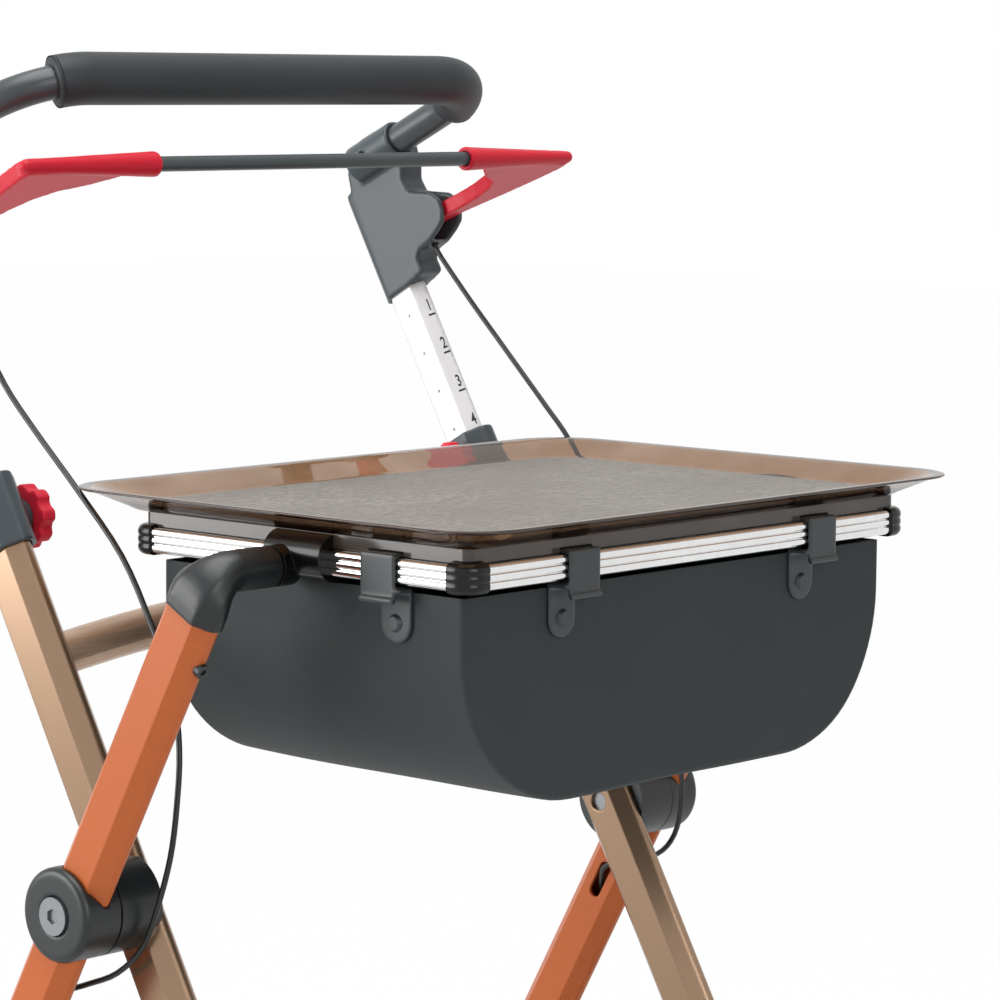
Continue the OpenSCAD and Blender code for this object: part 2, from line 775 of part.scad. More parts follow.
module hook_rivets() {
  color(silver) translate([0, row_y, 0]) hook_spots() {
    rivet_pin(0);
    translate([-lug_step, $back - hook_thick - fit, -rail_h - lug_drop + lug_r]) rotate([90, 0, 0])
      cylinder(rivet_high, rivet_d * half, rivet_d * half * slant, $fn = soft_fn);
  }
}

module column(s) {
  inner = column_grow - column_wall;
  color(silver) side(s) on_front() difference() {
    prism(column_grow, column_low_s, column_top_s);
    prism(inner, column_low_s - over, column_top_s + over);
    for (k = [1:4])
      translate([0, 0, bracket_s - button_r - column_pitch * (k - 1)])
        x_rod(mark_r, -leg_thick, -leg_thick * half - column_grow + mark_deep);
  }
}

module column_clamp(s) {
  color(grey) side(s) difference() {
    on_front() {
      prism(clamp_wall, clamp_s, clamp_s + clamp_len);
      translate([0, 0, clamp_mid]) x_rod(boss_r, -leg_thick * half - clamp_wall - boss_len, 0);
    }
    on_front() {
      room(fit, clamp_s - over, front_leg_up + fit);
      prism(column_grow + slide_gap, clamp_s, clamp_s + clamp_len + over);
      translate([0, 0, clamp_mid]) x_rod(stud_d * half + fit, -leg_d(), 0);
    }
  }
}

function leg_d() = leg_thick * 2;

// Star knob with its clamping stud
module clamp_knob(s) {
  color(red) side(s) on_front() translate([0, 0, clamp_mid]) {
    x_rod(stud_d * half, knob_x - front_leg_x, -leg_thick * half - column_grow - slide_gap);
    difference() {
      x_rod(knob_d * half, knob_x - front_leg_x - knob_thick, knob_x - front_leg_x);
      for (k = [1:knob_lobes])
        rotate([k * 360 / knob_lobes, 0, 0]) translate([0, knob_d * (half + knob_groove_share * half), 0])
          x_rod(knob_d * knob_groove_share, knob_x - front_leg_x - knob_thick - over, knob_x - front_leg_x + over);
    }
  }
}

// Frame of the push bar: y runs back and down its legs
module on_bar() {
  translate([0, bar_y, pivot_height + bar_up])
    rotate([-bar_droop, 0, 0])
      children();
}

module bar_run(r, turns, leg) {
  x_rod(r, bar_bend - bar_half_x, bar_half_x - bar_bend);
  for (s = [0, 1])
    mirror([s, 0, 0]) {
      translate([bar_half_x - bar_bend, bar_bend, 0]) rotate([0, 0, -90])
        rotate_extrude(angle = turns[s], $fn = round_fn) translate([bar_bend, 0]) circle(r, $fn = round_fn);
      if (leg > 0)
        translate([bar_half_x, bar_bend, 0]) rotate([-90, 0, 0]) cylinder(leg - bar_bend, r, r, $fn = round_fn);
    }
}

module push_bar() {
  color(black) translate([0, row_y, 0]) on_bar() difference() {
    bar_run(bar_d * half, [90, 90], bar_leg);
    for (s = [-1, 1])
      translate([s * bar_half_x, bar_bend + bar_wall, 0]) rotate([-90, 0, 0])
        cylinder(bar_leg, bar_d * half - bar_wall, bar_d * half - bar_wall, $fn = round_fn);
  }
}

module grip_foam() {
  color(black) translate([0, row_y, 0]) on_bar() difference() {
    bar_run(foam_d * half, [foam_left, foam_right], 0);
    bar_run(bar_d * half + fit, [90, 90], bar_leg);
  }
}

// Bracket that joins a column, the bar and the brake lever
module handle_bracket(s) {
  r = bar_d * half + socket_wall;
  pin_from = front_leg_x - bracket_wide * half + pin_cover;
  color(grey) side(s) difference() {
    union() {
      translate([front_leg_x - bracket_wide * half, 0, pivot_height]) rotate([90, 0, 90])
        linear_extrude(bracket_wide) offset(r = bracket_round, $fn = soft_fn) offset(delta = -bracket_round)
          polygon([for (p = bracket_shares) [foot[0] + p[0] * bracket_size[0], foot[1] + p[1] * bracket_size[1]]]);
      on_bar() translate([bar_half_x, socket_from, 0]) rotate([-90, 0, 0])
        cylinder(bar_leg - socket_from + socket_wall, r, r, $fn = round_fn);
      on_front() prism(column_grow + collar_wall, bracket_s + collar_up, bracket_s + collar_up + collar_len);
    }
    on_front() prism(column_grow + fit, bracket_s - leg_d(), column_top_s + fit);
    on_bar() translate([bar_half_x, socket_from - over, 0]) rotate([-90, 0, 0])
      cylinder(bar_leg - socket_from + over + fit, bar_d * half + fit, bar_d * half + fit, $fn = round_fn);
    lever_slot();
    cable_entry();
    on_bar() translate([bar_half_x, bar_leg * screw_share, 0])
      x_rod(screw_d * half, -r - over, -bar_d * half - fit);
    translate([0, pivot_y, pivot_height + pivot_up])
      x_rod(lever_pin_d * half + fit, pin_from, front_leg_x + bracket_wide);
  }
}

// Bore where the brake cable enters the bracket from below
module cable_entry() {
  top = left_route[0];
  run = top - left_route[1];
  r = cable_d * half + 2 * joint_gap;
  translate([rear_leg_x - top[0], top[1], pivot_height + top[2]]) rotate([180 - atan2(run[1], run[2]), 0, 0])
    translate([0, 0, -fit]) cylinder(leg_thick, r, r, $fn = soft_fn);
}

// Slot for the lever's arm, open to the front
module lever_slot() {
  translate([front_leg_x, pivot_y, pivot_height + pivot_up]) {
    x_rod(eye_r + half, -slot_wide * half, slot_wide * half);
    translate([-slot_wide * half, -leg_d(), -eye_r - half]) cube([slot_wide, leg_d(), leg_d()]);
  }
}

// Lever frame: y from the pin to the rod
module on_lever() {
  translate([front_leg_x, pivot_y, pivot_height + pivot_up])
    rotate([-lever_tilt, 0, 0]) mirror([0, 1, 0])
      children();
}

module brake_lever(s) {
  neck = arm_wide * half;
  tip_x = lever_out - tip_r;
  color(red) side(s) on_lever() difference() {
    union() {
      translate([0, 0, -lever_thick * half]) linear_extrude(lever_thick)
        offset(r = lever_round, $fn = soft_fn) offset(delta = -lever_round) polygon(concat(
          [[-neck, -lever_round], [neck, -lever_round], [neck, lever_neck]],
          [for (p = lever_outer_shares) [p[0] * lever_out, p[1] * lever_arm]],
          [for (p = lever_inner_shares) [p[0] * lever_in, p[1] * lever_arm]],
          [[-neck, lever_neck]]));
      x_rod(eye_r, -neck, neck);
      translate([-lever_in, lever_arm, 0]) rotate([0, 90, 0])
        cylinder(lever_in + tip_x, tube_r, tip_r, $fn = round_fn);
      translate([tip_x, lever_arm, 0]) sphere(tip_r, $fn = round_fn);
    }
    x_rod(lever_pin_d * half + fit, -leg_thick, leg_thick);
    translate([0, lever_arm, 0]) x_rod(rod_d * half + fit, -front_leg_x, rod_half + leg_thick - front_leg_x);
  }
}

module brake_rod() {
  color(black) translate([0, row_y + rod_y, pivot_height + rod_up])
    x_rod(rod_d * half, -rod_half - leg_thick + fit, rod_half + leg_thick - fit);
}

module lever_pins() {
  color(silver) pair() translate([0, pivot_y, pivot_height + pivot_up])
    x_rod(lever_pin_d * half, front_leg_x - bracket_wide * half + pin_cover + fit, front_leg_x + bracket_wide * half);
}

// Round tube along a list of points
module tube(pts, r, n) {
  m = len(pts);
  dirs = [for (i = [0:m - 1]) unit(pts[min(i + 1, m - 1)] - pts[max(i - 1, 0)])];
  rings = [for (i = [0:m - 1], k = [0:n - 1])
    let (a = unit(cross(dirs[i], [1, 0, half])), b = cross(dirs[i], a), q = 360 * k / n)
      pts[i] + r * (cos(q) * a + sin(q) * b)];
  polyhedron(rings, concat(
    [[for (k = [0:n - 1]) n - 1 - k]],
    [for (i = [0:m - 2], k = [0:n - 1]) [i * n + k, i * n + (k + 1) % n, (i + 1) * n + (k + 1) % n, (i + 1) * n + k]],
    [[for (k = [0:n - 1]) (m - 1) * n + k]]));
}

function unit(v) = v / norm(v);

function smooth(p, i, t) =
  let (a = p[max(i - 1, 0)], b = p[i], c = p[i + 1], d = p[min(i + 2, len(p) - 1)])
    b + half * t * (c - a + t * (2 * a - 5 * b + 4 * c - d + t * (3 * (b - c) + d - a)));

cable_cuts = 4;

function fine(p) = concat(
  [for (i = [0:len(p) - 2], k = [0:cable_cuts - 1]) smooth(p, i, k / cable_cuts)], [p[len(p) - 1]]);

module brake_cable(s, route) {
  color(black) side(s)
    tube(fine([for (p = route) [rear_leg_x - p[0], p[1], pivot_height + p[2]]]), cable_d * half, cable_sides);
}

// Frame of the rear wheel: z up the leg from the axle
module on_axle() {
  on_rear() translate([0, 0, -axle_s]) children();
}

module cheek(w, top) {
  rotate([90, 0, 90]) linear_extrude(cheek_thick) {
    circle(axle_d * half + cheek_thick * over, $fn = round_fn);
    polygon([[-axle_d - cheek_thick, 0], [axle_d + cheek_thick, 0], [w, top], [-w, top]]);
  }
}

module rear_fork(s) {
  in = tyre_wide * half + cheek_gap;
  out = in + cheek_thick;
  w = leg_w * half + fork_wall;
  color(grey) side(s) difference() {
    on_axle() {
      for (x = [-out, in])
        translate([x, 0, 0]) cheek(w, crown_s + crown_thick);
      translate([-out, -w, crown_s]) cube([2 * out, 2 * w, crown_thick]);
      prism(fork_wall, crown_s + crown_thick, crown_s + crown_thick + fork_sleeve);
    }
    on_axle() {
      room(fit, crown_s + crown_thick - fit, crown_s + crown_thick + fork_sleeve + over);
      x_rod(axle_d * half + fit, -out - over, out + over);
      cylinder(crown_s + crown_thick + over, stem_d * half * half + slide_gap, stem_d * half * half + slide_gap, $fn = round_fn);
    }
  }
}

module brake_shoe(s) {
  color(black) side(s) on_axle() {
    difference() {
      translate([-tyre_wide * half * slant, -leg_thick * half, wheel_r])
        cube([tyre_wide * slant, leg_thick, crown_gap - slide_gap]);
      x_rod(wheel_r + shoe_gap, -tyre_wide, tyre_wide);
    }
    translate([0, 0, wheel_r + shoe_gap + over]) cylinder(crown_gap + crown_thick * half, stem_d * half * half, stem_d * half * half, $fn = round_fn);
  }
}

module rim_shape() {
  r = wheel_r - tyre_deep;
  translate([axle_d * half + fit, -tyre_wide * half]) square([axle_d, tyre_wide]);
  translate([axle_d, -cheek_thick * half]) square([r - axle_d, cheek_thick]);
  translate([r - cheek_thick, -tyre_wide * half * slant]) square([cheek_thick, tyre_wide * slant]);
}

module rim() {
  holes = 6;
  difference() {
    rotate([0, 90, 0]) rotate_extrude($fn = 96) rim_shape();
    for (k = [1:holes])
      rotate([k * 360 / holes, 0, 0]) translate([0, wheel_r * half - cheek_thick * half, 0])
        x_rod(wheel_r * saddle_share * half, -tyre_wide, tyre_wide);
  }
}

module tyre() {
  r = wheel_r - tyre_deep + fit;
  w = tyre_wide * half;
  n = tyre_deep * half;
  rotate([0, 90, 0]) rotate_extrude($fn = 96) {
    translate([r, -w]) square([tyre_deep - n - fit, tyre_wide]);
    translate([r, n - w]) square([tyre_deep - fit, 2 * (w - n)]);
    for (y = [n - w, w - n])
      translate([wheel_r - n, y]) circle(n, $fn = round_fn);
  }
}

module rear_axles() {
  out = tyre_wide * half + cheek_gap + cheek_thick;
  color(silver) pair() on_axle() x_rod(axle_d * half, -out, out);
}

// Frame of a caster: the wheel's axle, behind the stem
module on_caster() {
  translate([front_leg_x, caster_trail - caster_y, wheel_r]) children();
}

module caster_socket(s) {
  color(grey) side(s) difference() {
    union() {
      on_front() prism(fork_wall, -leg_low_s - fork_wall, socket_lap - leg_low_s);
      translate([front_leg_x, -caster_y, socket_low]) cylinder(socket_high, socket_r, socket_r, $fn = round_fn);
    }
    on_front() room(fit, -leg_low_s - fit, socket_lap - leg_low_s + over);
    translate([front_leg_x, -caster_y, socket_low - over])
      cylinder(stem_in + over + joint_gap, stem_d * half + fit, stem_d * half + fit, $fn = round_fn);
  }
}

module caster_fork(s) {
  in = tyre_wide * half + cheek_gap;
  out = in + cheek_thick;
  top = socket_low - joint_gap - wheel_r;
  low = crown_low - wheel_r;
  back = socket_r + fork_wall;
  color(grey) side(s) difference() {
    on_caster() {
      for (x = [-out, in])
        translate([x, 0, 0]) rotate([90, 0, 90]) linear_extrude(cheek_thick) {
          circle(axle_d * half + cheek_thick * over, $fn = round_fn);
          polygon([[-axle_d - cheek_thick, 0], [axle_d + cheek_thick, 0], [back - caster_trail, top], [-back - caster_trail, top]]);
        }
      translate([-out, -back - caster_trail, low]) cube([2 * out, 2 * back, top - low]);
      translate([0, -caster_trail, low]) cylinder(top - low + stem_in, stem_d * half, stem_d * half, $fn = round_fn);
    }
    on_caster() x_rod(axle_d * half + fit, -out - over, out + over);
  }
}

module front_axle(s) {
  out = tyre_wide * half + cheek_gap + cheek_thick;
  color(silver) side(s) on_caster() x_rod(axle_d * half, -out, out);
}

front_leg(1);  // front_leg_left
front_leg(-1);  // front_leg_right
arch_bar();
rear_leg(1);  // rear_leg_left
rear_leg(-1);  // rear_leg_right
outer_hubs();
inner_hubs();
pivot_bolts();
leg_elbow(1);  // leg_elbow_left
leg_elbow(-1);  // leg_elbow_right
leg_buttons();
rail_sleeve(1);  // rail_sleeve_left
rail_sleeve(-1);  // rail_sleeve_right
side_rail(1);  // side_rail_left
side_rail(-1);  // side_rail_right
cross_rail(rail_fy);  // front_rail
cross_rail(rail_by);  // rear_rail
rail_corners();
tray_seat();
tray();
tray_mat();
basket();
basket_hooks();
hook_rivets();
column(1);  // column_left
column(-1);  // column_right
column_clamp(1);  // column_clamp_left
column_clamp(-1);  // column_clamp_right
clamp_knob(1);  // clamp_knob_left
clamp_knob(-1);  // clamp_knob_right
handle_bracket(1);  // handle_bracket_left
handle_bracket(-1);  // handle_bracket_right
push_bar();
grip_foam();
brake_lever(1);  // brake_lever_left
brake_lever(-1);  // brake_lever_right
brake_rod();
lever_pins();
brake_cable(1, left_route);  // brake_cable_left
brake_cable(-1, right_route);  // brake_cable_right
rear_fork(1);  // rear_fork_left
rear_fork(-1);  // rear_fork_right
color(grey) side(1) on_axle() rim();  // rear_wheel_left
color(grey) side(-1) on_axle() rim();  // rear_wheel_right
color(black) side(1) on_axle() tyre();  // rear_tyre_left
color(black) side(-1) on_axle() tyre();  // rear_tyre_right
rear_axles();
brake_shoe(1);  // brake_shoe_left
brake_shoe(-1);  // brake_shoe_right
caster_socket(1);  // caster_socket_left
caster_socket(-1);  // caster_socket_right
caster_fork(1);  // caster_fork_left
caster_fork(-1);  // caster_fork_right
color(grey) side(1) on_caster() rim();  // front_wheel_left
color(grey) side(-1) on_caster() rim();  // front_wheel_right
color(black) side(1) on_caster() tyre();  // front_tyre_left
color(black) side(-1) on_caster() tyre();  // front_tyre_right
front_axle(1);  // front_axle_left
front_axle(-1);  // front_axle_right
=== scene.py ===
"""Looks of an indoor walker with tray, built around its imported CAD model.

The CAD nodes stay where they are and get finishes, and the moulded ones get eased edges. The foam
grip, the sewn basket, the moulded tray and the brake cables are modelled here, and the height
scale is printed on the columns.
"""
from __future__ import annotations

import logging
import math
from dataclasses import dataclass, field
from enum import Enum

import bmesh
import bpy
from mathutils import Matrix, Vector

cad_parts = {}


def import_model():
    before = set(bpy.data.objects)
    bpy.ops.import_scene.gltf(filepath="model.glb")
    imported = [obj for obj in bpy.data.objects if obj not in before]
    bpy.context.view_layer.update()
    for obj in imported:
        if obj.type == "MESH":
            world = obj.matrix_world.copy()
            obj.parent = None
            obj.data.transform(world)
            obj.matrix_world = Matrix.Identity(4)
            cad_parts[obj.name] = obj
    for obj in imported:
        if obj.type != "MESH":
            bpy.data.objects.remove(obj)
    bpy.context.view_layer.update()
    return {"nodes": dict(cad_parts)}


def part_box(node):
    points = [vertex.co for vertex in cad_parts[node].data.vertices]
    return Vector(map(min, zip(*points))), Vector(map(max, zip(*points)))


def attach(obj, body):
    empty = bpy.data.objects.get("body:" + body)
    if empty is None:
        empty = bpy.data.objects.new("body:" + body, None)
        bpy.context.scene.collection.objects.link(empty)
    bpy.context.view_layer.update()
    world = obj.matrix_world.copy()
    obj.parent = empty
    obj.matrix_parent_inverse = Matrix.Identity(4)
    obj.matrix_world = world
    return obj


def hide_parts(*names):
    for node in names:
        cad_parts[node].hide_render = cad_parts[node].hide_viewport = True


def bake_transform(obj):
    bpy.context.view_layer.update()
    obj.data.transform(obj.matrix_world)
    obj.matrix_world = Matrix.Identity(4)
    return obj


LOG = logging.getLogger("walker")
MM = 0.001
WHITE = (1.0, 1.0, 1.0, 1.0)
# The fold axis in the row frame, and how far the front legs lean back.
ROW_Y = -0.007
HUB_Z = 0.45
FRONT_LEAN = math.radians(29.4)
# A drawn tube's lines are this many times as long as they are wide.
DRAWN_RATIO = 60
# Soft patches in a finish: how many to the metre, their detail and the spans of noise and share.
PATCHES = 14.0
PATCH_DETAIL = 2.0
PATCH_NOISE = (0.3, 0.7)
PATCH_SHARE = (0.25, 0.75)
# The span of the grain that goes from the dark colour to the light one, and the light one's least share.
GRAIN_SPAN = (0.25, 0.75)
LEAST_LIGHT = 0.2
# Woven cloth: the gap beside a thread, the height of a row and the shade of each second thread.
THREAD_GAP = 0.14
THREAD_ROW = 0.5
THREAD_SHADE = (0.72, 0.72, 0.72, 1.0)
# The fine noise in a surface, and how random the places of pebbles are.
NOISE_DETAIL = 3.0
NOISE_ROUGHNESS = 0.55
PEBBLE_RANDOM = 0.9
# Samples of an edge that the shader rounds.
EDGE_SAMPLES = 4


def linear(code: str) -> tuple[float, float, float, float]:
    """Turns an sRGB hex colour into linear values.

    Args:
        code: Six hex digits with a leading hash.

    Returns:
        Linear red, green, blue and an alpha of 1.
    """
    parts = [int(code[i:i + 2], 16) / 255 for i in (1, 3, 5)]
    curve = [p / 12.92 if p <= 0.04045 else ((p + 0.055) / 1.055) ** 2.4 for p in parts]
    return (curve[0], curve[1], curve[2], 1.0)


def add(tree: bpy.types.NodeTree, kind: str, inputs: dict | None = None,
        **settings) -> bpy.types.Node:
    """Adds one shader node with its settings and links.

    Args:
        tree: The node tree that gets the node.
        kind: The node's type name without its ShaderNode prefix.
        inputs: Socket name or index to a value, or to an output socket to link.
        settings: Attributes to set on the node.

    Returns:
        The new node.
    """
    node = tree.nodes.new("ShaderNode" + kind)
    for key, value in settings.items():
        setattr(node, key, value)
    for key, value in (inputs or {}).items():
        if isinstance(value, bpy.types.NodeSocket):
            tree.links.new(value, node.inputs[key])
        else:
            node.inputs[key].default_value = value
    return node


class Grain(Enum):
    """How a surface was made, which sets the pattern that it shows."""

    MOULDED = "moulded"
    DRAWN = "drawn"
    COATED = "coated"
    CELLS = "cells"
    PEBBLE = "pebble"
    WOVEN = "woven"
    CLEAR = "clear"


@dataclass(frozen=True)
class Finish:
    """One real material: its colours, gloss and the grain that its making leaves.

    Lengths are in millimetres, spread is how far the gloss varies, turn leans the grain back and
    across lays drawn lines along the walker's width.
    """

    name: str
    light: str
    dark: str
    grain: Grain
    grain_mm: float
    roughness: float
    spread: float = 0.06
    relief_mm: float = 0.02
    metallic: float = 0.0
    ior: float = 1.5
    transmission: float = 0.0
    turn: float = 0.0
    edge_mm: float = 0.0
    shine: float = 0.5
    across: bool = False

    def pattern(self, tree: bpy.types.NodeTree) -> bpy.types.NodeSocket:
        """Draws the grain at its real size.

        Args:
            tree: The material's node tree.

        Returns:
            A socket from 0 to 1.
        """
        place = add(tree, "TexCoord")
        size = self.grain_mm * MM
        long = size * DRAWN_RATIO if self.grain is Grain.DRAWN else size
        stretch = (long, size, size) if self.across else (size, size, long)
        spot = add(tree, "Mapping", {
            "Vector": place.outputs["Object"], "Rotation": (-self.turn, 0, 0), "Scale": stretch},
            vector_type="TEXTURE")
        where = spot.outputs["Vector"]
        if self.grain is Grain.PEBBLE:
            hollow = add(tree, "TexVoronoi", {"Vector": where, "Scale": 1.0, "Randomness": PEBBLE_RANDOM})
            bump = add(tree, "Math", {0: 1.0, 1: hollow.outputs["Distance"]}, operation="SUBTRACT")
            return bump.outputs[0]
        if self.grain is Grain.CELLS:
            return add(tree, "TexVoronoi", {"Vector": where, "Scale": 1.0}).outputs["Distance"]
        if self.grain is Grain.WOVEN:
            cloth = add(tree, "UVMap", uv_map="weave")
            thread = add(tree, "Mapping", {"Vector": cloth.outputs["UV"], "Scale": (size, size, size)},
                         vector_type="TEXTURE")
            check = add(tree, "TexBrick", {
                "Vector": thread.outputs["Vector"], "Scale": 1.0, "Mortar Size": THREAD_GAP,
                "Mortar Smooth": 1.0, "Color1": WHITE, "Color2": THREAD_SHADE, "Mortar": (0, 0, 0, 1),
                "Brick Width": 1.0, "Row Height": THREAD_ROW})
            return check.outputs["Color"]
        noise = add(tree, "TexNoise", {
            "Vector": where, "Scale": 1.0, "Detail": NOISE_DETAIL, "Roughness": NOISE_ROUGHNESS})
        return noise.outputs["Fac"]

    def material(self) -> bpy.types.Material:
        """Builds the shader, or returns it if it is there already.

        Returns:
            The Blender material.
        """
        made = bpy.data.materials.get(self.name)
        if made:
            return made
        made = bpy.data.materials.new(self.name)
        made.use_nodes = True
        tree = made.node_tree
        tree.nodes.clear()
        grain = self.pattern(tree)
        place = add(tree, "TexCoord")
        broad = add(tree, "TexNoise", {
            "Vector": place.outputs["Object"], "Scale": PATCHES, "Detail": PATCH_DETAIL})
        blend = add(tree, "MapRange", {
            "Value": broad.outputs["Fac"], "From Min": PATCH_NOISE[0], "From Max": PATCH_NOISE[1],
            "To Min": PATCH_SHARE[0], "To Max": PATCH_SHARE[1]})
        tone = add(tree, "MapRange", {"Value": grain, "From Min": GRAIN_SPAN[0], "From Max": GRAIN_SPAN[1]})
        share = add(tree, "Math", {0: tone.outputs[0], 1: blend.outputs[0], 2: LEAST_LIGHT},
                    operation="MULTIPLY_ADD")
        colour = add(tree, "Mix", {
            "Factor": share.outputs[0], "A": linear(self.dark), "B": linear(self.light)}, data_type="RGBA")
        gloss = add(tree, "MapRange", {"Value": grain, "To Min": self.roughness - self.spread,
                                       "To Max": self.roughness + self.spread})
        bump = add(tree, "Bump", {"Height": grain, "Distance": self.relief_mm * MM, "Strength": 1.0})
        if self.edge_mm:
            round_edge = add(tree, "Bevel", {"Radius": self.edge_mm * MM}, samples=EDGE_SAMPLES)
            tree.links.new(round_edge.outputs["Normal"], bump.inputs["Normal"])
        shader = add(tree, "BsdfPrincipled", {
            "Base Color": colour.outputs["Result"], "Roughness": gloss.outputs[0],
            "Normal": bump.outputs["Normal"], "Metallic": self.metallic,
            "Transmission Weight": self.transmission, "Specular IOR Level": self.shine})
        if not self.metallic:
            shader.inputs["IOR"].default_value = self.ior
        out = add(tree, "OutputMaterial")
        tree.links.new(shader.outputs["BSDF"], out.inputs["Surface"])
        return made


# Champagne anodised aluminium, drawn: fine lines along it and a bright reflection down the flats.
BRONZE = Finish("champagne_anodised_tube", "#A0846C", "#9D8169", Grain.DRAWN, 1.4, 0.22, 0.01, 0.0, 0.8,
                turn=FRONT_LEAN, edge_mm=1.6)
# The same metal on the arched cross bar, with stronger light and dark lines along the bar: partly its drawn
# grain and partly painted highlight bands that run along the bar.
ARCH = Finish("champagne_anodised_bar", "#D6BAA0", "#AC8C72", Grain.DRAWN, 2.2, 0.24, 0.03, 0.0, 0.4,
              across=True)
# Powder-coated aluminium: satin, with the coating's faint orange-peel.
ORANGE = Finish("orange_powder_coat", "#C0632E", "#B85B28", Grain.COATED, 2.5, 0.34, 0.04, 0.004,
                edge_mm=1.6, shine=0.3)
# Glass-filled nylon, moulded: satin slate with spark texture, drawn coarser than it is so that it shows.
SLATE = Finish("slate_moulded_nylon", "#41494E", "#384045", Grain.MOULDED, 0.9, 0.36, 0.05, 0.012,
               shine=0.42)
# The hubs and mouldings that the photograph shows darker.
DARK_SLATE = Finish("dark_slate_moulded_nylon", "#1D2123", "#16191B", Grain.MOULDED, 0.9, 0.36, 0.05,
                    0.012, edge_mm=0.6)
# Polished black ABS: dark and glossy, bright where seen along the surface.
BLACK = Finish("black_polished_abs", "#0C0D0E", "#070808", Grain.MOULDED, 1.2, 0.22, 0.04, 0.004,
               edge_mm=0.6, shine=0.35)
# Acetal straps: satin charcoal.
STRAP = Finish("charcoal_acetal_strap", "#383E41", "#2E3437", Grain.MOULDED, 0.8, 0.38, 0.05, 0.01,
               edge_mm=0.6)
# Bright-dipped aluminium extrusion: near mirror, with a faint unevenness.
BRIGHT = Finish("bright_dipped_extrusion", "#F4F4F4", "#E2E2E2", Grain.COATED, 4.0, 0.06, 0.02, 0.001, 1.0)
# Satin anodised aluminium column: pale, with faint lines along it.
COLUMN = Finish("satin_anodised_column", "#E6E5E5", "#DFDEDE", Grain.DRAWN, 1.2, 0.36, 0.04, 0.002, 0.15,
                turn=FRONT_LEAN, edge_mm=2.4)
# Slate paint on steel tube: satin.
SLATE_BAR = Finish("slate_painted_tube", "#3C4346", "#33393C", Grain.COATED, 1.5, 0.34, 0.05, 0.006)
# Zinc-plated steel: grey with a soft gloss.
STEEL = Finish("zinc_plated_steel", "#888B8E", "#7A7D80", Grain.COATED, 1.2, 0.36, 0.05, 0.006, 0.8)
# Red moulded ABS: satin.
RED = Finish("red_moulded_abs", "#D01E33", "#C2192D", Grain.MOULDED, 1.0, 0.4, 0.04, 0.01, shine=0.26)
# Soft-touch red rubber of the knobs, satin; its red is lighter than the levers' as painted light, so that
# the knobs look lit.
KNOB = Finish("red_soft_rubber", "#EA2C44", "#DA253B", Grain.MOULDED, 1.0, 0.5, 0.04, 0.01, shine=0.3)
# Smoked acrylic ring under the tray: glossy, and darkened grey-brown, partly as the smoked wall and partly
# as painted shadow for the gap under the tray's rim.
RING = Finish("smoked_ring_and_painted_shade", "#57514C", "#3E3935", Grain.CLEAR, 45.0, 0.12, 0.02, 0.0, edge_mm=0.8)
# Thermoformed smoky acrylic: glossy, brown where light passes through it.
SMOKE = Finish("smoky_acrylic_sheet", "#B8977A", "#865931", Grain.CLEAR, 45.0, 0.03, 0.01, 0.0,
               ior=1.49, transmission=1.0)
# The sheet's edge: dark, as the light that runs along the sheet is soaked up.
SMOKE_EDGE = Finish("smoky_acrylic_edge", "#4A3424", "#33231A", Grain.CLEAR, 45.0, 0.12, 0.02, 0.0)
# Anti-slip vinyl: warm grey with a leathery pebble, drawn coarser than it is so that it shows.
MAT = Finish("pebbled_vinyl_mat", "#928D86", "#625D56", Grain.PEBBLE, 4.4, 0.5, 0.08, 1.3, shine=0.3)
# Coated polyester: charcoal, matt, fine plain weave drawn coarser than it is so that it shows.
CLOTH = Finish("charcoal_coated_polyester", "#393F40", "#2F3435", Grain.WOVEN, 1.6, 0.6, 0.05, 0.03,
               shine=0.22)
# Closed-cell foam: charcoal, matt, with tiny cells, drawn coarser than they are so that they show.
FOAM = Finish("charcoal_cell_foam", "#34393C", "#292D30", Grain.CELLS, 0.9, 0.5, 0.05, 0.03, shine=0.3)
# Cable jacket: black PVC.
JACKET = Finish("black_cable_jacket", "#191B1C", "#151718", Grain.MOULDED, 6.0, 0.36, 0.03, 0.0)
# Solid polyurethane tyre: dark grey, matt.
TYRE = Finish("grey_solid_tyre", "#4A4C4E", "#3A3C3E", Grain.MOULDED, 1.4, 0.66, 0.06, 0.05)
# Printed scale: black ink.
INK = Finish("black_scale_ink", "#26282A", "#1C1D1F", Grain.MOULDED, 1.0, 0.5, 0.05, 0.0)


@dataclass(frozen=True)
class SoftBox:
    """One square lamp: where it hangs, its side in metres and its power."""

    name: str
    place: tuple[float, float, float]
    side: float
    watts: float

    def hang(self, target: tuple[float, float, float]) -> None:
        """Hangs the lamp.

        Args:
            target: The point that it faces.
        """
        data = bpy.data.lights.new(self.name, "AREA")
        data.shape, data.size, data.energy = "SQUARE", self.side, self.watts
        box = bpy.data.objects.new(self.name, data)
        box.location = self.place
        box.rotation_mode = "QUATERNION"
        box.rotation_quaternion = (Vector(target) - Vector(self.place)).to_track_quat("-Z", "Y")
        bpy.context.scene.collection.objects.link(box)


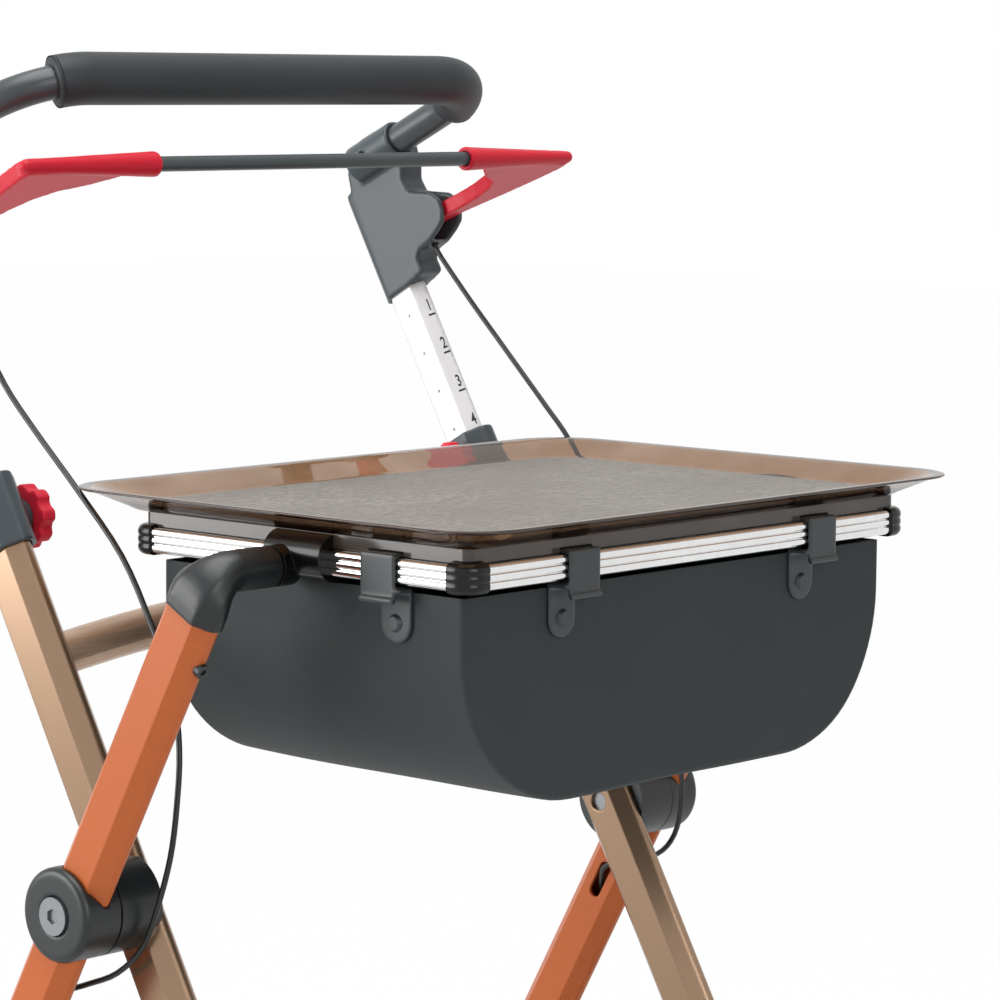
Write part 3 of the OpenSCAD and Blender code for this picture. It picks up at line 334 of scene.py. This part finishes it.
@dataclass
class Studio:
    """Camera at the photograph's view, pale floor and soft light."""

    lens_mm: float = 135.2
    sensor_mm: float = 36.0
    clip: tuple[float, float] = (0.05, 100.0)
    place: tuple[float, float, float] = (-1.6153, -1.5565, 0.9142)
    right: tuple[float, float, float] = (0.67087, -0.74157, 0.00696)
    up: tuple[float, float, float] = (0.07862, 0.08044, 0.99368)
    ahead: tuple[float, float, float] = (0.73741, 0.66605, -0.11226)
    floor_half: float = 12.0
    floor_tone: str = "#F1F1F1"
    # How white the floor is to the eye, and how white the surroundings are in a mirror.
    floor_white: float = 0.985
    mirrored: float = 0.92
    # The sky's strength, its tone at the horizon and the heights between which it grows white.
    sky_strength: float = 0.34
    sky_low: str = "#7C7C7C"
    sky_span: tuple[float, float] = (0.02, 0.75)
    subject: tuple[float, float, float] = (0, 0, 0.6)
    boxes: tuple[SoftBox, ...] = (
        SoftBox("key_box", (-2.5, 1.9, 1.2), 2.0, 72), SoftBox("top_box", (-0.4, -0.2, 3.2), 2.4, 80),
        SoftBox("front_box", (-1.0, -3.2, 1.6), 1.6, 26))

    def camera(self) -> None:
        """Sets the camera where the photograph was taken from."""
        data = bpy.data.cameras.new("photo_camera")
        data.lens, data.sensor_width = self.lens_mm, self.sensor_mm
        data.clip_start, data.clip_end = self.clip
        eye = bpy.data.objects.new("photo_camera", data)
        bpy.context.scene.collection.objects.link(eye)
        columns = [Vector(self.right), Vector(self.up), -Vector(self.ahead)]
        turn = Matrix(columns).transposed().to_4x4()
        eye.matrix_world = Matrix.Translation(self.place) @ turn
        bpy.context.scene.camera = eye

    def seen(self, tree: bpy.types.NodeTree) -> tuple[bpy.types.NodeSocket, bpy.types.NodeSocket]:
        """Tells the rays to which the surroundings are plain white.

        Args:
            tree: The node tree of the floor or the world.

        Returns:
            1 for rays of the eye, of gloss and of clear plastic, and the white's strength.
        """
        path = add(tree, "LightPath")
        first = add(tree, "Math", {0: path.outputs["Is Camera Ray"], 1: path.outputs["Is Glossy Ray"]},
                    operation="MAXIMUM")
        both = add(tree, "Math", {0: first.outputs[0], 1: path.outputs["Is Transmission Ray"]},
                   operation="MAXIMUM")
        level = add(tree, "MapRange", {
            "Value": path.outputs["Is Glossy Ray"], "To Min": 1.0, "To Max": self.mirrored})
        return both.outputs[0], level.outputs[0]

    def floor(self) -> None:
        """Lays the pale floor, which the camera sees nearly white and with its shadow."""
        mesh = bpy.data.meshes.new("studio_floor")
        shape = bmesh.new()
        bmesh.ops.create_grid(shape, x_segments=2, y_segments=2, size=self.floor_half)
        shape.to_mesh(mesh)
        shape.free()
        ground = bpy.data.objects.new("studio_floor", mesh)
        bpy.context.scene.collection.objects.link(ground)
        paint = bpy.data.materials.new("pale_floor")
        paint.use_nodes = True
        tree = paint.node_tree
        tree.nodes.clear()
        matt = add(tree, "BsdfDiffuse", {"Color": linear(self.floor_tone)})
        seen, level = self.seen(tree)
        white = add(tree, "Emission", {"Color": WHITE, "Strength": level})
        keep = add(tree, "Math", {0: seen, 1: self.floor_white}, operation="MULTIPLY")
        both = add(tree, "MixShader", {0: keep.outputs[0], 1: matt.outputs[0], 2: white.outputs[0]})
        out = add(tree, "OutputMaterial")
        tree.links.new(both.outputs[0], out.inputs["Surface"])
        mesh.materials.append(paint)

    def world(self) -> None:
        """White to the eye, and soft grey sky light on the walker."""
        sky = bpy.data.worlds.new("studio_world")
        bpy.context.scene.world = sky
        sky.use_nodes = True
        tree = sky.node_tree
        tree.nodes.clear()
        place = add(tree, "TexCoord")
        split = add(tree, "SeparateXYZ", {0: place.outputs["Generated"]})
        ramp = add(tree, "ValToRGB", {0: split.outputs["Z"]})
        low, high = ramp.color_ramp.elements
        low.position, high.position = self.sky_span
        low.color, high.color = linear(self.sky_low), WHITE
        soft = add(tree, "Background", {"Color": ramp.outputs["Color"], "Strength": self.sky_strength})
        seen, level = self.seen(tree)
        white = add(tree, "Background", {"Color": WHITE, "Strength": level})
        both = add(tree, "MixShader", {0: seen, 1: soft.outputs[0], 2: white.outputs[0]})
        out = add(tree, "OutputWorld")
        tree.links.new(both.outputs[0], out.inputs["Surface"])

    def build(self) -> None:
        """Makes camera, floor, sky and lamps."""
        self.camera()
        self.floor()
        self.world()
        for box in self.boxes:
            box.hang(self.subject)
        bpy.context.scene.view_settings.view_transform = "Standard"


def solid(name: str, shape: bmesh.types.BMesh, finish: Finish, body: str, slot: str,
          *nodes: str) -> bpy.types.Object:
    """Turns a bmesh into a piece that rides on a body and may stand for CAD nodes.

    Args:
        name: The piece's name.
        shape: Its mesh, in place, which is freed.
        finish: Its finish.
        body: The CAD body that it rides on.
        slot: Not used.
        nodes: The CAD nodes that it stands for.

    Returns:
        The new object.
    """
    mesh = bpy.data.meshes.new(name)
    shape.to_mesh(mesh)
    shape.free()
    mesh.materials.append(finish.material())
    piece = bpy.data.objects.new(name, mesh)
    bpy.context.scene.collection.objects.link(piece)
    mesh.shade_smooth()
    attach(piece, body)
    if nodes:
        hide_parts(*nodes)
    LOG.info("%s: %d faces", name, len(mesh.polygons))
    return piece


@dataclass
class BrakeCables:
    """The two brake cables, each an upper run beside the column and a lower run into the rear leg."""

    diameter: float = 0.0034
    rear_x: float = 0.25
    ring_cuts: int = 3
    # Steps between two points of a route.
    cuts: int = 4
    # The route's points where the stretch that the handle moves ends, and where the upper run ends.
    settle: int = 5
    split: int = 9
    left: tuple[tuple[float, float, float], ...] = (
        (44, 157, 355), (44, 150, 345), (42, 125, 317), (40.5, 104, 295), (39, 83, 273), (36.5, 63, 251),
        (34, 44, 229), (32, 29, 200), (31, 13, 162), (32, -7, 125), (32, -24, 94), (32, -42, 58),
        (30, -50, 20), (27, -46, -9), (23, -33, -29), (19, -12, -41), (16.5, 12, -47), (14.6, 27, -53),
        (9.4, 34, -63), (3.6, 38.6, -71.5))
    right: tuple[tuple[float, float, float], ...] = (
        (44, 157, 355), (44, 150, 345), (48, 136, 316), (50, 116, 285), (51, 91, 260), (51, 55, 229),
        (50, 16, 194), (47, -11, 159), (43, -33, 124), (39, -43, 92), (35, -45, 60), (32, -43, 32),
        (29, -36, 4), (26, -27, -20), (22, -10, -37), (17.5, 10, -46), (14.6, 27, -53), (9.4, 34, -63),
        (3.6, 38.6, -71.5))

    def points(self, route: tuple[tuple[float, float, float], ...], side: int) -> list[Vector]:
        """Places a route in the row frame and smooths it.

        Args:
            route: Points in millimetres: inward from the rear leg, back and up from the fold axis.
            side: 1 for the left, -1 for the right.

        Returns:
            The cable's centre line.
        """
        knots = [Vector((side * (self.rear_x - p[0] * MM), p[1] * MM + ROW_Y, p[2] * MM + HUB_Z))
                 for p in route]
        line = []
        for i in range(len(knots) - 1):
            a, b = knots[max(i - 1, 0)], knots[i]
            c, d = knots[i + 1], knots[min(i + 2, len(knots) - 1)]
            for k in range(self.cuts):
                t = k / self.cuts
                cubic = t * (3 * (b - c) + d - a)
                line.append(b + 0.5 * t * (c - a + t * (2 * a - 5 * b + 4 * c - d + cubic)))
        return line + [knots[-1]]

    def run(self, name: str, line: list[Vector]) -> bpy.types.Object:
        """Sweeps one stretch of cable.

        Args:
            name: The piece's name.
            line: Its centre line.

        Returns:
            The mesh object, not yet on a body.
        """
        path = bpy.data.curves.new(name + "_path", "CURVE")
        path.dimensions, path.use_fill_caps = "3D", True
        path.bevel_depth, path.bevel_resolution = self.diameter / 2, self.ring_cuts
        spline = path.splines.new("POLY")
        spline.points.add(len(line) - 1)
        for spot, point in zip(spline.points, line):
            spot.co = (*point, 1)
        guide = bpy.data.objects.new(name + "_path", path)
        bpy.context.scene.collection.objects.link(guide)
        bpy.context.view_layer.update()
        mesh = bpy.data.meshes.new_from_object(guide.evaluated_get(bpy.context.evaluated_depsgraph_get()))
        bpy.data.objects.remove(guide)
        mesh.name = name
        mesh.materials.clear()
        mesh.materials.append(JACKET.material())
        mesh.shade_smooth()
        piece = bpy.data.objects.new(name, mesh)
        bpy.context.scene.collection.objects.link(piece)
        LOG.info("%s: %d points", name, len(line))
        return piece

    def build(self) -> None:
        """Makes both cables, each as an upper and a lower run in place of the CAD cable."""
        for name, route, side in (("left", self.left, 1), ("right", self.right, -1)):
            line = self.points(route, side)
            part = self.split * self.cuts
            calm = line[self.settle * self.cuts]
            for run, pts, bodies, end in (("upper", line[:part + 1], ("handle", "front_frame"), calm),
                                          ("lower", line[part:], ("front_frame", "rear_frame"), line[-1])):
                piece = self.run(f"brake_cable_{name}_{run}", pts)
                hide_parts(f"brake_cable_{name}")
                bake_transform(piece)


@dataclass
class GripFoam:
    """Foam sleeve over the push bar's straight and its bends."""

    place: tuple[float, float, float] = (0, 0.0935, 0.911)
    droop: float = math.radians(26)
    half: float = 0.148
    bend: float = 0.05
    radius: float = 0.0155
    bore: float = 0.0101
    turns: tuple[float, float] = (math.radians(27), math.radians(71))
    edge: float = 0.0035
    ring_cuts: int = 40
    bend_cuts: int = 22
    straight_cuts: int = 12
    edge_cuts: int = 5

    def build(self) -> None:
        """Sweeps the sleeve, closes its ends and rounds them."""
        shape = bmesh.new()
        first = -math.pi / 2 - self.turns[0]
        centre = Vector((-self.half, self.bend, 0))
        spot = centre + self.bend * Vector((math.cos(first), math.sin(first), 0))
        along = Vector((-math.sin(first), math.cos(first), 0))
        facing = along.to_track_quat("Z", "Y").to_matrix().to_4x4()
        ring = bmesh.ops.create_circle(shape, cap_ends=False, radius=self.radius, segments=self.ring_cuts,
                                       matrix=Matrix.Translation(spot) @ facing)
        edges = list({e for v in ring["verts"] for e in v.link_edges})
        start = edges
        for cent, turn in zip((centre, Vector((self.half, self.bend, 0))), self.turns):
            made = bmesh.ops.spin(shape, geom=edges, cent=cent, axis=(0, 0, 1), angle=turn,
                                  steps=self.bend_cuts)
            edges = [g for g in made["geom_last"] if isinstance(g, bmesh.types.BMEdge)]
            if cent is centre:
                for _ in range(self.straight_cuts):
                    made = bmesh.ops.extrude_edge_only(shape, edges=edges)
                    edges = [g for g in made["geom"] if isinstance(g, bmesh.types.BMEdge)
                             and all(v in made["geom"] for v in g.verts)]
                    verts = list({v for e in edges for v in e.verts})
                    bmesh.ops.translate(shape, verts=verts, vec=(2 * self.half / self.straight_cuts, 0, 0))
        rims = []
        for loop in (start, edges):
            rims += loop
            middle = sum((v.co for e in loop for v in e.verts), Vector()) / (2 * len(loop))
            made = bmesh.ops.extrude_edge_only(shape, edges=loop)
            verts = [g for g in made["geom"] if isinstance(g, bmesh.types.BMVert)]
            bmesh.ops.scale(shape, verts=verts, vec=(self.bore / self.radius,) * 3,
                            space=Matrix.Translation(-middle))
        bmesh.ops.recalc_face_normals(shape, faces=shape.faces)
        bmesh.ops.bevel(shape, geom=rims, offset=self.edge, segments=self.edge_cuts, profile=0.5,
                        affect="EDGES", material=-1)
        bmesh.ops.transform(shape, verts=shape.verts,
                            matrix=Matrix.Translation(self.place) @ Matrix.Rotation(-self.droop, 4, "X"))
        piece = solid("grip_foam_sleeve", shape, FOAM, "handle", "grip_foam", "grip_foam")


@dataclass
class Basket:
    """Sewn basket: a wrap that forms sides and floor, with a panel in front and one behind."""

    low: Vector
    high: Vector
    corner: float = 0.088
    wall: float = 0.0022
    seam: float = 0.004
    floor_gap: float = 0.0022
    corner_cuts: int = 20
    seam_cuts: int = 4
    # Strips along x, y and z that let the cloth bend.
    strips: tuple[int, int, int] = (24, 16, 8)
    # How straight a face has to look along an axis to belong to a flat side, and to a sewn-in panel.
    facing: float = 0.9
    panel: float = 0.7
    # Sag of the floor and height of the ripples.
    sag: float = 0.0012
    swell: float = 0.00035
    # Broad ripples along x and y and short ones along x and z, in radians to the metre.
    broad: tuple[float, float] = (31, 37)
    short: tuple[float, float] = (53, 47)
    # The broad ripples' shifts, the short ones' share and how fast all of them grow from the top.
    shifts: tuple[float, float] = (1.3, 0.4)
    short_share: float = 0.6
    growth: float = 3.0
    # Points this near to a cut lie on it, and points this near to each other become one.
    on_cut: float = 1e-6
    weld: float = 0.001
    # Weight of the large faces in their corners' normals: 50 is even and 100 the most.
    flatness: int = 90

    def weave(self, shape: bmesh.types.BMesh) -> None:
        """Unrolls the cloth, so that its threads follow each panel.

        Args:
            shape: The basket's mesh.
        """
        layer = shape.loops.layers.uv.new("weave")
        low = self.low.z + self.floor_gap
        for face in shape.faces:
            panel = abs(face.normal.y) > self.panel
            for loop in face.loops:
                x, y, z = loop.vert.co
                round_x, round_z = self.high.x - self.corner, low + self.corner
                if abs(x) > round_x and z < round_z:
                    along = self.corner * math.atan2(abs(x) - round_x, round_z - z) + round_x
                else:
                    along = abs(x) if z < round_z else round_x + self.corner * math.pi / 2 + z - round_z
                loop[layer].uv = (x, z) if panel else (math.copysign(along, x), y)

    def slacken(self, shape: bmesh.types.BMesh) -> None:
        """Lets the floor sag and the cloth ripple, and keeps the hung edge straight.

        Args:
            shape: The basket's mesh.
        """
        for vert in shape.verts:
            x, y, z = vert.co
            down = (self.high.z - z) / (self.high.z - self.low.z)
            across = math.sin(x * self.broad[0] + self.shifts[0])
            back = math.sin(y * self.broad[1] + self.shifts[1])
            wave = across * back + self.short_share * math.sin(x * self.short[0] + z * self.short[1])
            give = max(0.0, 1 - (2 * (y - self.low.y) / (self.high.y - self.low.y) - 1) ** 2)
            vert.co.z -= self.sag * down * give
            vert.co += vert.normal * self.swell * wave * min(1.0, self.growth * down)

    def build(self) -> None:
        """Makes the shell from its end panel, rounds the seams and gives the cloth its thickness."""
        shape = bmesh.new()
        low = self.low.z + self.floor_gap
        corners = [(-self.high.x, low), (self.high.x, low), (self.high.x, self.high.z),
                   (-self.high.x, self.high.z)]
        verts = [shape.verts.new((x, self.low.y, z)) for x, z in corners]
        shape.faces.new(verts)
        bmesh.ops.bevel(shape, geom=verts[:2], offset=self.corner, segments=self.corner_cuts,
                        profile=0.5, affect="VERTICES", material=-1)
        made = bmesh.ops.extrude_face_region(shape, geom=shape.faces[:])
        moved = [g for g in made["geom"] if isinstance(g, bmesh.types.BMVert)]
        bmesh.ops.translate(shape, verts=moved, vec=(0, self.high.y - self.low.y, 0))
        bmesh.ops.recalc_face_normals(shape, faces=shape.faces)
        lid = [f for f in shape.faces if f.normal.z > self.facing]
        bmesh.ops.delete(shape, geom=lid, context="FACES_ONLY")
        seams = [e for e in shape.edges if len(e.link_faces) == 2
                 and sum(abs(f.normal.y) > self.facing for f in e.link_faces) == 1]
        bmesh.ops.bevel(shape, geom=seams, offset=self.seam, segments=self.seam_cuts, profile=0.5,
                        affect="EDGES", material=-1)
        spans = ((-self.high.x, self.high.x), (self.low.y, self.high.y), (low, self.high.z))
        for axis, ((start, stop), count) in enumerate(zip(spans, self.strips)):
            for k in range(1, count):
                normal, spot = [0, 0, 0], [0, 0, 0]
                normal[axis], spot[axis] = 1, start + (stop - start) * k / count
                bmesh.ops.bisect_plane(shape, geom=shape.verts[:] + shape.edges[:] + shape.faces[:],
                                       dist=self.on_cut, plane_co=spot, plane_no=normal)
        bmesh.ops.remove_doubles(shape, verts=shape.verts, dist=self.weld)
        bmesh.ops.recalc_face_normals(shape, faces=shape.faces)
        shape.normal_update()
        self.slacken(shape)
        bmesh.ops.recalc_face_normals(shape, faces=shape.faces)
        self.weave(shape)
        piece = solid("basket_shell", shape, CLOTH, "tray_frame", "basket_fabric", "basket")
        cloth = piece.modifiers.new("cloth", "SOLIDIFY")
        cloth.thickness, cloth.offset, cloth.use_even_offset = self.wall, -1.0, False
        flat = piece.modifiers.new("flat_panels", "WEIGHTED_NORMAL")
        flat.weight = self.flatness


@dataclass
class ServingTray:
    """Thermoformed tray: flat floor, sloped sides and a rolled rim."""

    low: Vector
    high: Vector
    corner: float = 0.038
    corner_cuts: int = 12
    # A corner grows tighter inward by this share of the inset.
    tighten: float = 0.5
    # Inset from the rim's outline and height above the underside, from the floor's underside to its top.
    profile: tuple[tuple[float, float], ...] = (
        (0.031, 0.0), (0.0275, 0.0004), (0.0245, 0.0016), (0.0225, 0.0029), (0.0065, 0.0104),
        (0.0045, 0.0112), (0.0008, 0.0119), (0.0, 0.0125), (0.0004, 0.0131), (0.0012, 0.0133),
        (0.0056, 0.0131), (0.008, 0.0124), (0.0105, 0.0113), (0.0245, 0.0048), (0.0265, 0.0037),
        (0.0295, 0.003), (0.033, 0.003))
    # The profile's steps that are the sheet's edge.
    edge: tuple[int, ...] = (6, 7, 8, 9)

    def ring(self, shape: bmesh.types.BMesh, inset: float, lift: float) -> list[bmesh.types.BMEdge]:
        """Draws one rounded outline of the tray.

        Args:
            shape: The mesh that gets it.
            inset: Distance inside the rim's outline.
            lift: Height above the underside.

        Returns:
            The outline's edges.
        """
        old = set(shape.faces)
        hx, y0, y1 = self.high.x - inset, self.low.y + inset, self.high.y - inset
        corners = ((-hx, y0), (hx, y0), (hx, y1), (-hx, y1))
        verts = [shape.verts.new((x, y, self.low.z + lift)) for x, y in corners]
        shape.faces.new(verts)
        radius = self.corner - self.tighten * inset
        bmesh.ops.bevel(shape, geom=verts, offset=radius, segments=self.corner_cuts, profile=0.5,
                        affect="VERTICES", material=-1)
        sheet = [f for f in shape.faces if f not in old]
        edges = list(sheet[0].edges)
        bmesh.ops.delete(shape, geom=sheet, context="FACES_ONLY")
        return edges

    def build(self) -> None:
        """Bridges the outlines from the underside over the rim to the floor."""
        shape = bmesh.new()
        rings = [self.ring(shape, inset, lift) for inset, lift in self.profile]
        for step, (outer, inner) in enumerate(zip(rings, rings[1:])):
            made = bmesh.ops.bridge_loops(shape, edges=outer + inner)
            for face in made["faces"]:
                face.material_index = int(step in self.edge)
        for end in (rings[0], rings[-1]):
            bmesh.ops.contextual_create(shape, geom=end)
        bmesh.ops.recalc_face_normals(shape, faces=shape.faces)
        piece = solid("tray_shell", shape, SMOKE, "tray", "tray_plastic", "tray")
        piece.data.materials.append(SMOKE_EDGE.material())


@dataclass
class HeightScale:
    """Printed height marks on the slanted front faces of the columns."""

    marks: int = 4
    column_x: float = 0.207
    first_s: float = 0.3436
    pitch: float = 0.028
    face: tuple[float, float] = (0.0025, 0.01455)
    digit: float = 0.0116
    narrow: float = 0.56
    bold: float = 0.00022
    dash: tuple[float, float] = (0.0046, 0.0014)
    # A number's foot above its dash, in dash thicknesses, and the ink above the metal.
    foot: float = 2.2
    lift: float = 0.00006

    def place(self, side: int, along: float) -> Matrix:
        """Finds a spot on a column's slanted face.

        Args:
            side: 1 for the left column, -1 for the right.
            along: Distance up the leg from the fold axis.

        Returns:
            A frame with x across the face, y up the column and z out of the face.
        """
        slant = math.sqrt(0.5)
        out = Vector((-side * slant, -slant, 0))
        spot = Vector((-side * self.face[0], -self.face[1], along)) + out * self.lift
        up = Vector((0, 0, 1))
        across = up.cross(out)
        turn = Matrix((across, up, out)).transposed().to_4x4()
        leg = Matrix.Translation((side * self.column_x, ROW_Y, HUB_Z)) @ Matrix.Rotation(-FRONT_LEAN, 4, "X")
        return leg @ Matrix.Translation(spot) @ turn

    def number(self, text: str, where: Matrix, name: str) -> None:
        """Prints one number with its dash.

        Args:
            text: The number.
            where: Its frame on the face.
            name: The piece's name.
        """
        font = bpy.data.curves.new(name, "FONT")
        font.body, font.size, font.align_x, font.offset = text, self.digit, "CENTER", self.bold
        words = bpy.data.objects.new(name + "_type", font)
        bpy.context.scene.collection.objects.link(words)
        bpy.context.view_layer.update()
        flat = bpy.data.meshes.new_from_object(words.evaluated_get(bpy.context.evaluated_depsgraph_get()))
        bpy.data.objects.remove(words)
        shape = bmesh.new()
        shape.from_mesh(flat)
        bmesh.ops.scale(shape, verts=shape.verts, vec=(self.narrow, 1, 1))
        bmesh.ops.translate(shape, verts=shape.verts, vec=(0, self.foot * self.dash[1], 0))
        line = bmesh.ops.create_grid(shape, x_segments=1, y_segments=1, size=0.5)
        bmesh.ops.scale(shape, verts=line["verts"], vec=(*self.dash, 1))
        bmesh.ops.transform(shape, verts=shape.verts, matrix=where)
        solid(name, shape, INK, "handle", "black_plastic")

    def build(self) -> None:
        """Prints the marks on both columns, 1 at the top."""
        for name, side in (("left", 1), ("right", -1)):
            for k in range(self.marks):
                where = self.place(side, self.first_s - k * self.pitch)
                self.number(str(k + 1), where, f"height_mark_{name}_{k + 1}")


@dataclass
class Dressing:
    """Finishes of the CAD nodes."""

    finishes: dict[str, Finish] = field(default_factory=lambda: {
        "front_leg": BRONZE, "arch_bar": ARCH, "rear_leg": ORANGE, "outer_hubs": DARK_SLATE,
        "inner_hubs": DARK_SLATE, "pivot_bolts": STEEL, "leg_elbow": DARK_SLATE, "leg_buttons": DARK_SLATE,
        "rail_sleeve": BLACK, "side_rail": BRIGHT, "front_rail": BRIGHT, "rear_rail": BRIGHT,
        "rail_corners": BLACK, "tray_seat": RING, "tray_mat": MAT, "basket_hooks": STRAP,
        "hook_rivets": STRAP, "column_clamp": SLATE, "column": COLUMN, "clamp_knob": KNOB,
        "handle_bracket": SLATE, "push_bar": SLATE_BAR, "brake_lever": RED, "brake_rod": SLATE_BAR,
        "lever_pins": STEEL, "rear_fork": DARK_SLATE, "rear_wheel": DARK_SLATE, "rear_tyre": TYRE,
        "rear_axles": STEEL, "brake_shoe": BLACK, "caster_socket": SLATE, "caster_fork": DARK_SLATE,
        "front_wheel": DARK_SLATE, "front_tyre": TYRE, "front_axle": STEEL, "basket": CLOTH,
        "tray": SMOKE, "grip_foam": FOAM, "brake_cable": JACKET})

    def build(self, nodes: dict[str, bpy.types.Object]) -> None:
        """Gives each node the finish that its name starts with, the longest name first.

        Args:
            nodes: CAD node name to object.
        """
        names = sorted(self.finishes, key=len, reverse=True)
        for name, node in nodes.items():
            finish = self.finishes[next(n for n in names if name.startswith(n))]
            node.data.materials.clear()
            node.data.materials.append(finish.material())
        LOG.info("%d nodes dressed", len(nodes))


@dataclass
class Mouldings:
    """Rounded edges of the moulded pieces, as they leave their moulds."""

    voxel: float = 0.0009
    ease: float = 0.5
    passes: dict[str, int] = field(default_factory=lambda: {
        "handle_bracket": 16, "brake_lever": 9, "column_clamp": 14, "clamp_knob": 14, "leg_elbow": 6,
        "outer_hubs": 6, "basket_hooks": 3})

    def build(self, nodes: dict[str, bpy.types.Object]) -> None:
        """Skins each moulding with an even mesh and eases its edges.

        Args:
            nodes: CAD node name to object.
        """
        for name, node in nodes.items():
            rounds = next((n for start, n in self.passes.items() if name.startswith(start)), 0)
            if rounds:
                skin = node.modifiers.new("skin", "REMESH")
                skin.mode, skin.voxel_size, skin.use_smooth_shade = "VOXEL", self.voxel, True
                ease = node.modifiers.new("ease", "SMOOTH")
                ease.factor, ease.iterations = self.ease, rounds
                LOG.info("%s: edges eased", name)


def main() -> None:
    """Builds the walker's looks and the studio around it."""
    logging.basicConfig(level=logging.INFO, format="%(name)s %(message)s")
    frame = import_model()
    Studio().build()
    BrakeCables().build()
    Dressing().build(frame["nodes"])
    Mouldings().build(frame["nodes"])
    GripFoam().build()
    Basket(*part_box("basket")).build()
    ServingTray(*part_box("tray")).build()
    HeightScale().build()


if __name__ == "__main__":
    main()
